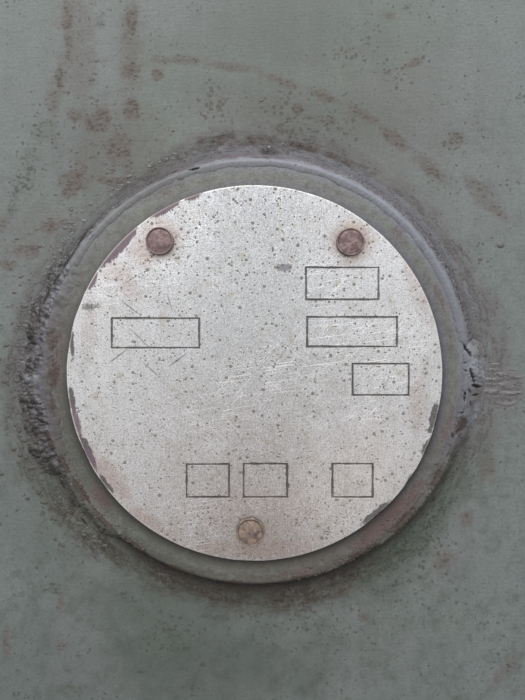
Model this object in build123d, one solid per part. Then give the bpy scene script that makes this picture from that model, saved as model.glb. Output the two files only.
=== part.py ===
"""Round data plate riveted to a welded pad on a section of tank wall.

Millimetres. The origin is on the wall's back face, behind the data plate's centre.
+Y points out of the back face, so the plate is seen looking along +Y. +X is to the
right and +Z is up. Angles run anticlockwise from +X as the viewer sees them.
"""

from build123d import *
import math
import os

# Section cut from the tank wall
wall_width = 250.0
wall_height = 340.0
wall_rise = 8.0            # the section's middle above the data plate's centre
wall_thickness = 4.0
wall_corner_radius = 20.0
wall_edge_ease = 0.4

# Data plate
plate_diameter = 160.0
plate_thickness = 2.0
plate_edge_ease = 0.4

# Backing pad, which shows as a plain ring round the data plate
pad_border = 11.0
pad_thickness = 6.0
pad_edge_ease = 0.8

# Empty fields engraved on the data plate
groove_width = 0.8
groove_depth = 0.3
layout_diameter = 160.0    # plate diameter that the table below was drawn for
# Columns: left, right, bottom, top, from the plate's centre
fields = [
    (21.9, 52.7, 31.2, 44.8),
    (-60.6, -23.5, 10.7, 23.2),
    (22.4, 60.5, 11.2, 23.7),
    (41.7, 65.5, -9.4, 3.9),
    (-28.8, -10.8, -52.7, -38.8),
    (-4.6, 13.9, -52.7, -38.6),
    (33.1, 50.2, -52.7, -38.6),
]

# Rivets, with a low head in front and a tail hammered flush into the pad's back
shank_diameter = 6.0
head_diameter = 12.0
head_side_height = 1.1
head_bevel = 0.5
head_crown_rise = 0.7      # of the domed top above the bevel
tail_diameter = 10.0
tail_angle = 90.0          # whole angle of the countersunk cone
rivet_clearance = 0.05     # round the shank and the tail
# Columns: name, angle, distance of the centre from the plate's rim
rivets = [
    ("rivet_top_left", 125.7, 11.2),
    ("rivet_top_right", 53.8, 11.2),
    ("rivet_bottom", 268.5, 12.8),
]

# Fillet weld laid round the pad by hand, with the lowest stretch left open
bead_lip = 0.4             # how thick the bead ends where it laps over the pad's face
bead_bulge = 2.0           # how far the bead's face stands proud of a straight slope
ripple_depth = 0.35
# Columns: name, start angle, end angle, leg at the start, leg at the end, lap over the pad, ripple pitch
weld_runs = [
    ("weld_lower_right", -56.0, -22.0, 2.4, 4.5, 1.2, 4.0),
    ("weld_right", -22.0, 8.0, 6.0, 9.0, 2.4, 3.6),
    ("weld_upper_right", 8.0, 112.0, 6.0, 4.6, 2.2, 2.8),
    ("weld_upper_left", 112.0, 150.0, 3.0, 6.0, 1.8, 3.4),
    ("weld_left", 150.0, 204.0, 8.0, 12.0, 4.0, 4.6),
    ("weld_lower_left", 204.0, 228.0, 6.5, 5.5, 1.2, 4.0),
]

plate_radius = plate_diameter / 2
pad_radius = plate_radius + pad_border
shank_radius = shank_diameter / 2
shank_hole_radius = shank_radius + rivet_clearance
tail_radius = tail_diameter / 2
stack_height = pad_thickness + plate_thickness


def front_plane(height):
    """A plane that faces the viewer, this far in front of the wall's back face."""
    return Plane(origin=(0, -height, 0), x_dir=(1, 0, 0), z_dir=(0, -1, 0))


wall_front = front_plane(wall_thickness)
pad_front = front_plane(wall_thickness + pad_thickness)


def on_circle(radius, angle):
    """Point at this angle on a circle about the plate's centre."""
    turn = math.radians(angle)
    return radius * math.cos(turn), radius * math.sin(turn)


def cone_depth(small_radius, large_radius):
    """Depth of the countersunk cone between two radii."""
    return (large_radius - small_radius) / math.tan(math.radians(tail_angle / 2))


def tank_wall():
    """Flat section of the wall, cut out with rounded corners."""
    outline = Pos(0, wall_rise) * RectangleRounded(wall_width, wall_height, wall_corner_radius)
    wall = extrude(front_plane(0) * outline, wall_thickness)
    rims = wall.faces().filter_by(Axis.Y).edges()
    return chamfer(rims, wall_edge_ease)


def pad_blank():
    """Pad before drilling: a disc with its front edge eased."""
    disc = Cylinder(pad_radius, pad_thickness, align=(Align.CENTER, Align.CENTER, Align.MIN))
    rim = disc.edges().filter_by(GeomType.CIRCLE).sort_by(Axis.Z)[-1]
    return chamfer(rim, pad_edge_ease)


def backing_pad():
    """Disc behind the data plate, countersunk at the back for the rivet tails."""
    pad = pad_blank()
    hole_depth = cone_depth(shank_hole_radius, tail_radius)
    for _, angle, rim_distance in rivets:
        place = Pos(*on_circle(plate_radius - rim_distance, angle))
        pad -= place * Cylinder(shank_hole_radius, 3 * pad_thickness)
        pad -= place * Cone(
            tail_radius,
            shank_hole_radius,
            hole_depth,
            align=(Align.CENTER, Align.CENTER, Align.MIN),
        )
    return wall_front.location * pad


def data_plate():
    """Disc with three rivet holes and the engraved frames of its empty fields."""
    plate = Cylinder(plate_radius, plate_thickness, align=(Align.CENTER, Align.CENTER, Align.MIN))
    rim = plate.edges().filter_by(GeomType.CIRCLE).sort_by(Axis.Z)[-1]
    plate = chamfer(rim, plate_edge_ease)
    for _, angle, rim_distance in rivets:
        place = Pos(*on_circle(plate_radius - rim_distance, angle))
        plate -= place * Cylinder(shank_hole_radius, 3 * plate_thickness)
    layout_scale = plate_diameter / layout_diameter
    for field in fields:
        left, right, bottom, top = [layout_scale * value for value in field]
        middle = Pos((left + right) / 2, (bottom + top) / 2, plate_thickness)
        outer = Rectangle(right - left + groove_width, top - bottom + groove_width)
        inner = Rectangle(right - left - groove_width, top - bottom - groove_width)
        plate -= middle * extrude(outer - inner, -groove_depth)
    return pad_front.location * plate


def rivet(angle, rim_distance):
    """Solid rivet through plate and pad, made by turning its half section."""
    half_head = head_diameter / 2
    shank_edge = (shank_radius, cone_depth(shank_radius, tail_radius - rivet_clearance))
    bevel_top = stack_height + head_side_height + head_bevel
    crown = bevel_top + head_crown_rise
    outline = [
        (0, 0),
        (tail_radius - rivet_clearance, 0),
        shank_edge,
        (shank_radius, stack_height),
        (half_head, stack_height),
        (half_head, stack_height + head_side_height),
        (half_head - head_bevel, bevel_top),
    ]
    dome_reach = half_head - head_bevel
    dome_radius = (dome_reach**2 + head_crown_rise**2) / (2 * head_crown_rise)
    dome_turn = math.degrees(math.asin(dome_reach / dome_radius))
    section = Polyline(*outline)
    section += CenterArc((0, crown - dome_radius), dome_radius, 90 - dome_turn, dome_turn)
    section += Line((0, crown), (0, 0))
    solid = revolve(Plane.XZ * make_face(section), Axis.Z)
    place = Pos(*on_circle(plate_radius - rim_distance, angle))
    return wall_front.location * place * solid


def bead_section(angle, leg, lap, bulge):
    """Section of the bead across its run: flat on the wall, bulging between its toes."""
    inner = pad_radius - lap
    outer = pad_radius + leg
    top = pad_thickness + bead_lip
    slope = math.hypot(outer - inner, top)
    middle = (
        (inner + outer) / 2 + bulge * top / slope,
        top / 2 + bulge * (outer - inner) / slope,
    )
    outline = Line((inner, 0), (outer, 0))
    outline += ThreePointArc((outer, 0), middle, (inner, top))
    outline += Line((inner, top), (inner, 0))
    along = on_circle(1, angle)
    across = Plane(origin=(0, 0, 0), x_dir=(*along, 0), z_dir=(along[1], -along[0], 0))
    return across * make_face(outline)


def weld_run(start, end, start_leg, end_leg, lap, pitch):
    """One run of weld: overlapping ripples, each a short loft that swells to its crest."""
    arc_length = math.radians(end - start) * pad_radius
    ripple_count = max(1, round(arc_length / pitch))
    blank = pad_blank()
    ripples = []
    for index in range(ripple_count):
        near = index / ripple_count
        far = (index + 1) / ripple_count
        leg = start_leg + (end_leg - start_leg) * (near + far) / 2
        low = bead_section(start + (end - start) * near, leg - ripple_depth, lap, bead_bulge - ripple_depth)
        crest = bead_section(start + (end - start) * far, leg, lap, bead_bulge)
        ripples.append(loft([low, crest], ruled=True) - blank)
    run = ripples[0].fuse(*ripples[1:]) if ripple_count > 1 else ripples[0]
    return wall_front.location * run


def build_pieces():
    """Every piece of the assembly by its name."""
    pieces = {
        "tank_wall": tank_wall(),
        "backing_pad": backing_pad(),
        "data_plate": data_plate(),
    }
    for name, angle, rim_distance in rivets:
        pieces[name] = rivet(angle, rim_distance)
    for name, *run in weld_runs:
        pieces[name] = weld_run(*run)
    return pieces


os.makedirs("parts", exist_ok=True)
for node_name, piece in build_pieces().items():
    export_step(piece, f"parts/{node_name}.step")
    print(node_name, f"{piece.volume:.1f} mm3")
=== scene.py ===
# %% [markdown]
# A blank data plate on a painted tank wall
#
# The object is a round aluminium plate, riveted to a steel pad that is welded to a section of tank wall. The
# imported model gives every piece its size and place. This script gives them their looks: worn metal, old paint
# over primer, rusted rivets and a rough weld. Every place below is a plain X, Z pair in millimetres from the
# plate's centre, as the viewer sees it, because the plate faces along -Y.

# %% Load the frame
import bpy
import bmesh
import math
import random
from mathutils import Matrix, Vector, noise


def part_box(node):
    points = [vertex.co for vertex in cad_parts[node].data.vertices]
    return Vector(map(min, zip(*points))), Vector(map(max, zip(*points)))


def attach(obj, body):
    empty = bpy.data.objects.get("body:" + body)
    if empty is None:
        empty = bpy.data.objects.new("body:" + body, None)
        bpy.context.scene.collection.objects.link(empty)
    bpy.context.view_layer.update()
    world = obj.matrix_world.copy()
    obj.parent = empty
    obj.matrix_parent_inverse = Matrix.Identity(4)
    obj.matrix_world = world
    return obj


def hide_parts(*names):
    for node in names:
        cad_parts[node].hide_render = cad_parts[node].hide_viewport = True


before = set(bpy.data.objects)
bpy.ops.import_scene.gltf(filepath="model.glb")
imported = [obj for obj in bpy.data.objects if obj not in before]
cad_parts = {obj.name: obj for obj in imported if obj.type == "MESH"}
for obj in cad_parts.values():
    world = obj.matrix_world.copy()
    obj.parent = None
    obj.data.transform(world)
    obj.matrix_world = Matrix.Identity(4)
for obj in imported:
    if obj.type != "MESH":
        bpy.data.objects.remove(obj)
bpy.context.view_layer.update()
MM = 0.001

# %% [markdown]
# Every size comes from the frame where it can. The pad and the plate are round, so half their width is their
# radius. Depth runs along Y: the wall's front, the pad's front and the plate's front are three flat levels.

# %% Levels and radii, in metres
pad_low, pad_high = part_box("backing_pad")
plate_low, plate_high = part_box("data_plate")
wall_low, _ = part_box("tank_wall")
wall_front = pad_high.y
pad_front = plate_high.y
plate_front = plate_low.y
pad_radius = round((pad_high.x - pad_low.x) / 2, 4)
plate_radius = round((plate_high.z - plate_low.z) / 2, 4)
pad_thickness = wall_front - pad_front
print("radius in mm: pad", pad_radius / MM, "and plate", plate_radius / MM)
print("the pad is", round(pad_thickness / MM, 2), "mm thick")

# %% [markdown]
# Colours are written as sRGB hex, which is how a paint chip or a photograph is read, and Blender's sockets
# want linear light. One function turns one into the other. A second one adds a node with its settings and
# links, for shader trees and geometry trees alike, and gives back the output that the next node needs. It
# finds the tree from what it links.

# %% Colour and node helpers
def linear(hex_colour):
    """Linear RGBA from an sRGB hex string such as "7d837e"."""
    channels = [int(hex_colour[start:start + 2], 16) / 255 for start in (0, 2, 4)]
    return [c / 12.92 if c <= 0.04045 else ((c + 0.055) / 1.055) ** 2.4 for c in channels] + [1.0]


VECTOR = "ShaderNodeVectorMath"
MIX = "ShaderNodeMix"
RANGE = "ShaderNodeMapRange"
NOISE = "ShaderNodeTexNoise"
PLACE = "ShaderNodeMapping"
SPLIT = "ShaderNodeSeparateXYZ"
JOIN = "ShaderNodeCombineXYZ"
SMOOTH = {"interpolation_type": "SMOOTHSTEP"}


def add(kind, *values, tree=None, out=0, sockets=None, **words):
    """Adds a node and returns one of its outputs. A kind such as "ADD" is the operation of a maths node.

    Values fill the sockets in order, a word with a capital fills the socket of that name, and other words are
    settings. An output given as a value is linked, and says which tree the node belongs to.
    """
    is_maths = "Node" not in kind
    given = dict(enumerate(values))
    given.update(sockets or {})
    given.update({word: words.pop(word) for word in list(words) if word[0].isupper()})
    linked = [value for value in given.values() if isinstance(value, bpy.types.NodeSocket)]
    tree = tree or linked[0].id_data
    made = tree.nodes.new("ShaderNodeMath" if is_maths else kind)
    if is_maths:
        made.operation = kind
    for setting, value in words.items():
        setattr(made, setting, value)
    for socket, value in given.items():
        if isinstance(value, bpy.types.NodeSocket):
            tree.links.new(value, made.inputs[socket])
        else:
            made.inputs[socket].default_value = value
    return made.outputs[out]

# %% [markdown]
# Paint and dirt come in layers, and so do these materials: a ground colour, then one cover after another, in
# the order in which they reached the metal. A cover is a number from 0 to 1 at each point. One helper lays
# the whole list, and another adds up the heights that the bump reads. A RANGE node takes a value, the two
# numbers it runs between, and the two it is turned into, which are 0 and 1 unless given.

# %% Layers and the point being shaded
def lay(ground, layers):
    """Mixes colours over a ground in turn. Each layer is a cover and a hex colour or a colour output."""
    for cover, colour in layers:
        top = linear(colour) if isinstance(colour, str) else colour
        ground = add(MIX, sockets={0: cover, 6: ground, 7: top}, out=2, data_type="RGBA")
    return ground


def scaled(cover, factor):
    """A cover made weaker or stronger, kept between 0 and 1. The factor is a number or another cover."""
    return add("MULTIPLY", cover, factor, use_clamp=True)


def built_up(ground, heights):
    """A height in mm: a clamped ground, then fields that each stand up, or sink, by so much."""
    relief = scaled(*ground)
    for field, height in heights:
        relief = add("MULTIPLY_ADD", field, height, relief)
    return relief


def new_finish(name):
    """A material, the point being shaded in millimetres, and that point's three parts."""
    material = bpy.data.materials.new(name)
    material.use_nodes = True
    coordinates = add("ShaderNodeTexCoord", tree=material.node_tree, out="Object")
    point = add(PLACE, coordinates, Scale=(1000, 1000, 1000))
    return material, point, add(SPLIT, point).node.outputs


def finish_surface(material, colour, roughness, relief, metallic=None):
    """Links colour, roughness, a height in mm and perhaps how metallic it is, and returns the material."""
    bump = add("ShaderNodeBump", Height=relief, Distance=MM, Strength=0.8)
    shader = material.node_tree.nodes["Principled BSDF"]
    looks = {"Base Color": colour, "Roughness": roughness, "Normal": bump, "Metallic": metallic}
    for label, output in looks.items():
        if output is not None:
            material.node_tree.links.new(output, shader.inputs[label])
    print(material.name, "has", len(material.node_tree.nodes), "nodes")
    return material


def coat(piece, finish):
    """Gives a piece this one material."""
    piece.data.materials.clear()
    piece.data.materials.append(finish)

# %% [markdown]
# Most of this object's history is written in soft, torn stains: primer showing through, rust below a lip,
# dirt that rain has pulled down. Each is one row of a table, an ellipse with a place, a size, a turn and a
# strength. The field is 1 in the middle of a stain and falls to 0 at its edge, and noise tears that edge.
#
# Specks are made the other way round. Fine noise passes a threshold only at its highest spots, and a field
# that is added to it lets more of them through. That gives ragged grains of one size that crowd together
# where the field is strong, as real dirt does, where a regular dot pattern would look printed.

# %% Stains, specks and the angle round the pad
def stain_field(point, stains, tear, tear_size):
    """Strongest of several torn ellipses: X, Z, half width, half height, turn in degrees, strength."""
    torn = add(NOISE, point, Scale=1 / tear_size, Detail=4, Roughness=0.62)
    shift = add("MULTIPLY_ADD", torn, -1.6 * tear, 0.8 * tear)
    field = None
    for x, z, half_width, half_height, turn, strength in stains:
        local = add(PLACE, point, Location=(x, 0, z), Rotation=(0, math.radians(-turn), 0),
                    Scale=(2.5 * half_width, 1e6, 2.5 * half_height), vector_type="TEXTURE")
        nearness = add("ShaderNodeTexGradient", local, out=1, gradient_type="SPHERICAL")
        ragged = add("ADD", nearness, shift)
        stain = add(RANGE, ragged, 0.46, 0.92, 0, strength, **SMOOTH)
        field = stain if field is None else add("MAXIMUM", field, stain)
    return field


def specks(point, size, crowding, share=0.0, softness=0.05, seed=0.0, detail=2.0):
    """Ragged grains of about this size in mm. More get through where crowding or share is larger."""
    grains = add(NOISE, point, W=seed, Scale=0.55 / size, Detail=detail, Roughness=0.6, noise_dimensions="4D")
    raised = add("MULTIPLY_ADD", crowding, 0.16, grains)
    threshold = 0.72 - share
    return add(RANGE, raised, threshold, threshold + softness, **SMOOTH)


def spots(point, spacing, radius, crowding, ragged):
    """Soft ragged spots, at most one to a cell of this spacing, up to this radius where crowding is 1."""
    cell = add("ShaderNodeTexVoronoi", point, Scale=1 / spacing).node.outputs
    inside = add("MULTIPLY", add("SUBTRACT", crowding, cell["Color"]), radius / spacing)
    inside = add("SUBTRACT", add("MULTIPLY_ADD", ragged, 2, inside), cell["Distance"])
    return add(RANGE, inside, 0.9, 1.2, **SMOOTH)


def round_spots(point, spacing, radius):
    """Round soft spots of up to this radius in mm, at most one in each cell of this spacing."""
    cell = add("ShaderNodeTexVoronoi", point, Scale=1 / spacing).node.outputs
    reach = add(RANGE, cell["Color"], 0.1, 1, 0.3, 1.15)
    near = add("DIVIDE", cell["Distance"], reach)
    return add(RANGE, near, radius / spacing, 0.55 * radius / spacing, **SMOOTH)


def round_the_pad(point):
    """Radius about the plate's axis, angle from -180 to 180 degrees, and a point for streaks by the rim."""
    flat = add(VECTOR, point, (1, 0, 1), operation="MULTIPLY")
    radius = add(VECTOR, flat, out="Value", operation="LENGTH")
    parts = add(SPLIT, point).node.outputs
    degrees = add("DEGREES", add("ARCTAN2", parts["Z"], parts["X"]))
    heading = add(VECTOR, flat, operation="NORMALIZE")
    outward = add(JOIN, Y=add("MULTIPLY", radius, 0.6))
    streak = add(VECTOR, heading, (14, 0, 14), outward, operation="MULTIPLY_ADD")
    return radius, degrees, streak


def ramp(value, stops):
    """A colour or a number that changes with a value. A stop is a value and a hex colour or a number."""
    low, high = stops[0][0], stops[-1][0]
    share = add(RANGE, value, low, high)
    made = add("ShaderNodeValToRGB", share)
    points = made.node.color_ramp.elements
    for place, _ in stops[1:-1]:
        points.new((place - low) / (high - low))
    for element, (_, colour) in zip(points, stops):
        element.color = linear(colour) if isinstance(colour, str) else (colour, colour, colour, 1)
    if isinstance(stops[0][1], str):
        return made
    return add("ShaderNodeSeparateColor", made)


def broken_up(cover, texture, most):
    """A cover in separate flecks where it is weak, closed where it is strong. The texture's mean is 1."""
    return add(RANGE, add("MULTIPLY_ADD", cover, 0.75, texture), 1.25, 1.68, 0, most)


def thinned(cover, texture, most):
    """A cover that a texture thins unevenly, soft at its edge like a wiped stain. The texture's mean is 1."""
    return scaled(cover, add(RANGE, texture, 0.8, 1.2, 0.2 * most, most))

# %% [markdown]
# The wall is rolled steel sheet under an old grey-green enamel, brushed on by hand and gone chalky outdoors.
# The eye reads it as matt and slightly blotchy. Over it lie mauve smears where primer or mud was dragged
# sideways, a scaly dark belt round the weld, rust that ran out below the pad, moss in the damp corner and
# fine specks everywhere.

# %% Marks on the wall
# Columns of every table of stains: X, Z, half width, half height, turn in degrees, strength
SMEARS = [
    (-62, 98, 26, 22, 0, 0.34), (-78, 140, 9, 34, 0, 0.34), (-54, 138, 7, 30, 0, 0.36),
    (-88, 120, 4, 9, 0, 0.45), (-100, 60, 26, 22, 20, 0.24), (8, 112, 44, 18, -12, 0.2),
    (54, 116, 44, 34, -25, 0.17), (-82, 151, 3.5, 15, 0, 0.6), (-54, 155, 3.5, 8, 0, 0.8),
    (-54, 132, 4.6, 4, 0, 1.1), (-43, 130, 3, 3, 0, 0.8), (-34, 137, 13, 2.4, 0, 0.5),
    (-10, 134, 14, 2.2, -6, 0.45), (-54, 116, 4.4, 7, 0, 0.8), (-68, 110, 6, 5.4, 0, 1.1),
    (-79, 113, 3.4, 3, 0, 0.8), (-59, 96, 8, 10, 0, 0.9), (-60, 84, 9, 2.6, -2, 1.1),
    (-79, 84, 9, 6.6, 45, 1.2), (-90, 63, 11, 5, 0, 0.6), (-99, 53, 9, 4.4, 0, 0.6), (-108, 47, 7, 3, 0, 0.6),
    (-111, 65, 4, 5, 0, 0.6), (12, 127.5, 13, 3, -18, 0.5), (32, 120.5, 12, 3.4, -24, 0.55),
    (48, 112.5, 11, 3.4, -31, 0.55), (61, 103, 11, 3.8, -39, 0.6), (77, 90, 13, 4, -40, 0.6),
    (98, 82, 12, 3.4, -20, 0.5), (103, 74, 12, 3.4, -38, 0.5), (-15.3, 118.6, 2.2, 2.6, 0, 0.7),
    (-86, 129, 3.6, 9, 0, 0.6), (-70, 137, 9, 1.4, 0, 0.4), (59, 157, 3, 2, 20, 0.5),
    (19, 116, 2.6, 3.4, 0, 0.8), (34, 111, 3, 3, 0, 0.9), (59, 132, 1.6, 2.6, 0, 0.8),
    (70, 136, 4.6, 2.4, 20, 0.7), (88, 102, 5.4, 4, 10, 0.5), (107, -8, 15, 7, 0, 0.45),
    (83, -83, 5.5, 7, 0, 0.5), (111, -129, 9, 3.4, 50, 0.55), (102, -42, 4.5, 8, 0, 0.5),
    (93, -65, 3.6, 5, 0, 0.5), (-85, -102, 2.6, 4, 0, 0.6), (-109, -118, 1.8, 7, 0, 0.55),
    (-85, -121, 2.2, 2.4, 0, 0.5), (39, -95, 3.4, 5, -30, 0.8), (48, -108, 2.4, 2.4, 0, 0.5),
]
DARK_DIRT = [
    (67, 160.6, 3.2, 1.6, 35, 1.2), (30, -134, 5, 7, -30, 0.6), (61, -94, 7, 3.4, 20, 0.7),
    (-103.8, -131.6, 1.6, 1.6, 0, 0.9), (-101.6, -78.5, 1.6, 1.6, 0, 0.8), (-104, -98, 3, 1.6, 0, 0.8),
    (-93, 106, 7, 5.3, -20, 0.8), (-99, 93, 4.6, 7, -15, 1), (-104, 83, 7, 7, 0, 0.8),
    (-107, 72, 3, 5, 0, 0.8), (20, 139, 3.4, 3, 0, 0.6), (24, 104, 8, 3.6, 0, 0.7),
    (-44, 88, 2.6, 6, -25, 1.3), (-68, 154, 2, 4.6, 0, 0.7), (-71, 127, 3, 2.4, 35, 0.7),
    (-87, -95, 7, 3.4, 0, 1), (-53, -101, 11, 2.8, -40, 0.8), (-38, -113, 10, 2.8, -38, 0.8),
    (-26, -125, 9, 2.6, -40, 0.7), (-52, -131, 4.4, 2, 0, 0.8), (95, 106, 16, 9, 0, 0.4),
    (20, 110, 22, 9, 0, 0.5), (40, -118, 20, 10, 0, 0.4),
]
# Where loose specks crowd together
SPECK_CROWDS = [
    (14, 112, 15.4, 18.2, 0, 1.2), (39, 106, 12.6, 14, 0, 1.2), (44, 139, 19.6, 6.3, 0, 1),
    (63, 129, 12.6, 8.4, 0, 1), (74, 140, 4.76, 8.4, 0, 1.1), (87, 101, 9.8, 7, 0, 1.1),
    (101, 107, 11.2, 7, 0, 0.75), (82, 122, 9.8, 11.2, 0, 0.62), (25, 132, 22.4, 11.2, -15, 0.56),
    (-18, 119, 15.4, 11.2, 0, 1.2), (-79, 108, 36.4, 47.6, 0, 0.75), (-84, -64, 16.8, 30.8, 35, 1.1),
    (62, -82, 36.4, 28, 40, 1), (6, -108, 84, 16.8, 0, 0.88),
]
# Where the toe never fused and the gap is black
TOE_GAPS = [
    (-84.5, -49, 0.7, 3.4, 30, 1.3), (-80, -57.5, 0.8, 3.4, 34, 1.3), (-75, -65.5, 0.7, 2.6, 44, 1.1),
    (-99, -14, 0.8, 2.6, 12, 1), (-76.2, 57.4, 5.4, 1, 60, 1.4), (-81, 48.4, 5, 1, 64, 1.4),
    (-85.6, 40.6, 4.4, 1, 56, 1.3), (-90, 33, 4.8, 1, 62, 1.2), (83, -48, 0.6, 2.6, -30, 0.8),
    (79, -55, 0.6, 2, -36, 0.8), (84.8, -26.6, 0.8, 1.2, 20, 1.6), (-35, 87.5, 2.6, 0.6, 24, 1),
]
RUST_RUNS = [
    (6, 97, 4.4, 2.4, -8, 1.4), (-15, 102.6, 10, 2.2, 8, 0.8), (4, 102.4, 10, 2.2, -2, 0.9),
    (21, 99, 10, 2.2, -12, 0.8), (37, 93.5, 9, 2.2, -22, 0.7), (-40, -88, 13, 5, -30, 1),
    (-14, -97, 16, 5, -8, 0.9), (17, -99, 12, 8, 0, 1.2), (30, -98, 15, 6, 14, 0.8),
    (40, -90, 12, 4.4, 28, 0.8), (-68, -76, 13, 5, -45, 0.8), (-84, -60, 6, 12, 32, 0.7),
]
MOSS = [
    (70, -66, 11, 17, -38, 1.1), (84, -44, 6, 11, -15, 0.9), (50, -86, 14, 7, 32, 0.9),
    (-40, -118, 20, 16, 0, 0.55), (-88, -50, 7, 14, 20, 0.5),
]
# Wide soft patches where the wall is darker
DARKER_PATCHES = [
    (-20, -130, 60, 26, 0, 1), (-30, -100, 60, 18, 0, 0.8), (52, -85, 26, 18, 35, 0.7),
    (-95, -70, 20, 40, 25, 0.5), (10, 150, 62, 24, 0, 0.6), (20, 115, 70, 16, -15, 0.5),
    (-70, 100, 30, 24, 30, 0.4), (-95, -135, 50, 40, 0, 0.5),
]
# By height, a painted shade: darker towards the bottom and a little darker at the top
WALL_SHADE_BY_HEIGHT = [(-160, "727a77"), (-60, "747a74"), (40, "7c817c"), (160, "767b76")]
# By angle round the plate's axis: how far the weld's toe lies outside the pad, how wide the scaly belt
# outside the toe is, the belt's colour, how much dirt lies at the toe, and the weld's own paint. The two
# parts are in mm
TOE_PART, BELT_PART = 20, 25
TOE = [
    (-180, 0.5), (-156, 0.6), (-154, 0.33), (-132, 0.26), (-129, 0), (-58, 0), (-55, 0.12), (-22, 0.22),
    (-20, 0.3), (7, 0.45), (11, 0.3), (112, 0.2), (115, 0.15), (150, 0.3), (152, 0.4), (180, 0.5),
]
BELT_WIDTH = [
    (-180, 0.3), (-160, 0.35), (-130, 0.45), (-100, 0.5), (-75, 0.4), (-50, 0.5), (-28, 0.4), (-10, 0.4),
    (15, 0.4), (35, 0.28), (55, 0.22), (75, 0.36), (90, 0.3), (103, 0.32), (115, 0.2), (140, 0.12),
    (158, 0.14), (170, 0.22), (180, 0.3),
]
BELT_COLOUR = [
    (-180, "605b58"), (-150, "5b5d54"), (-120, "54534a"), (-95, "4a433c"), (-70, "4e4942"), (-50, "51574c"),
    (-30, "5e645c"), (-10, "757070"), (15, "706a6b"), (45, "6f686a"), (90, "61585a"), (110, "605759"),
    (140, "66645e"), (165, "605d59"), (180, "605b58"),
]
# Where the weld's paint is thick and clean
SMOOTH_SPOTS = [
    (98, 1, 6.5, 6, 0, 1.4), (95.5, -19, 3.2, 8, -12, 0.9), (-97, -2.5, 4.6, 2.8, 10, 1.2),
    (-101, 4, 3, 1.6, 0, 0.8),
]
TOE_DIRT = [
    (-180, 0.5), (-140, 0.8), (-125, 0.95), (-60, 0.95), (-50, 0.7), (-10, 0.4), (18, 0.85), (58, 0.7),
    (80, 0.4), (115, 0.5), (140, 1), (162, 0.9), (172, 0.5), (180, 0.5),
]
WELD_PAINT = [
    (-180, "75747b"), (-160, "6c6a6e"), (-140, "85867c"), (-56, "575c52"), (-28, "66675f"), (-12, "7a7b80"),
    (4, "8b8e93"), (30, "9398a0"), (60, "989ca6"), (100, "92949b"), (112, "7f8083"), (135, "8a8b90"),
    (155, "7f8085"), (168, "7a7980"), (180, "75747b"),
]

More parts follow.
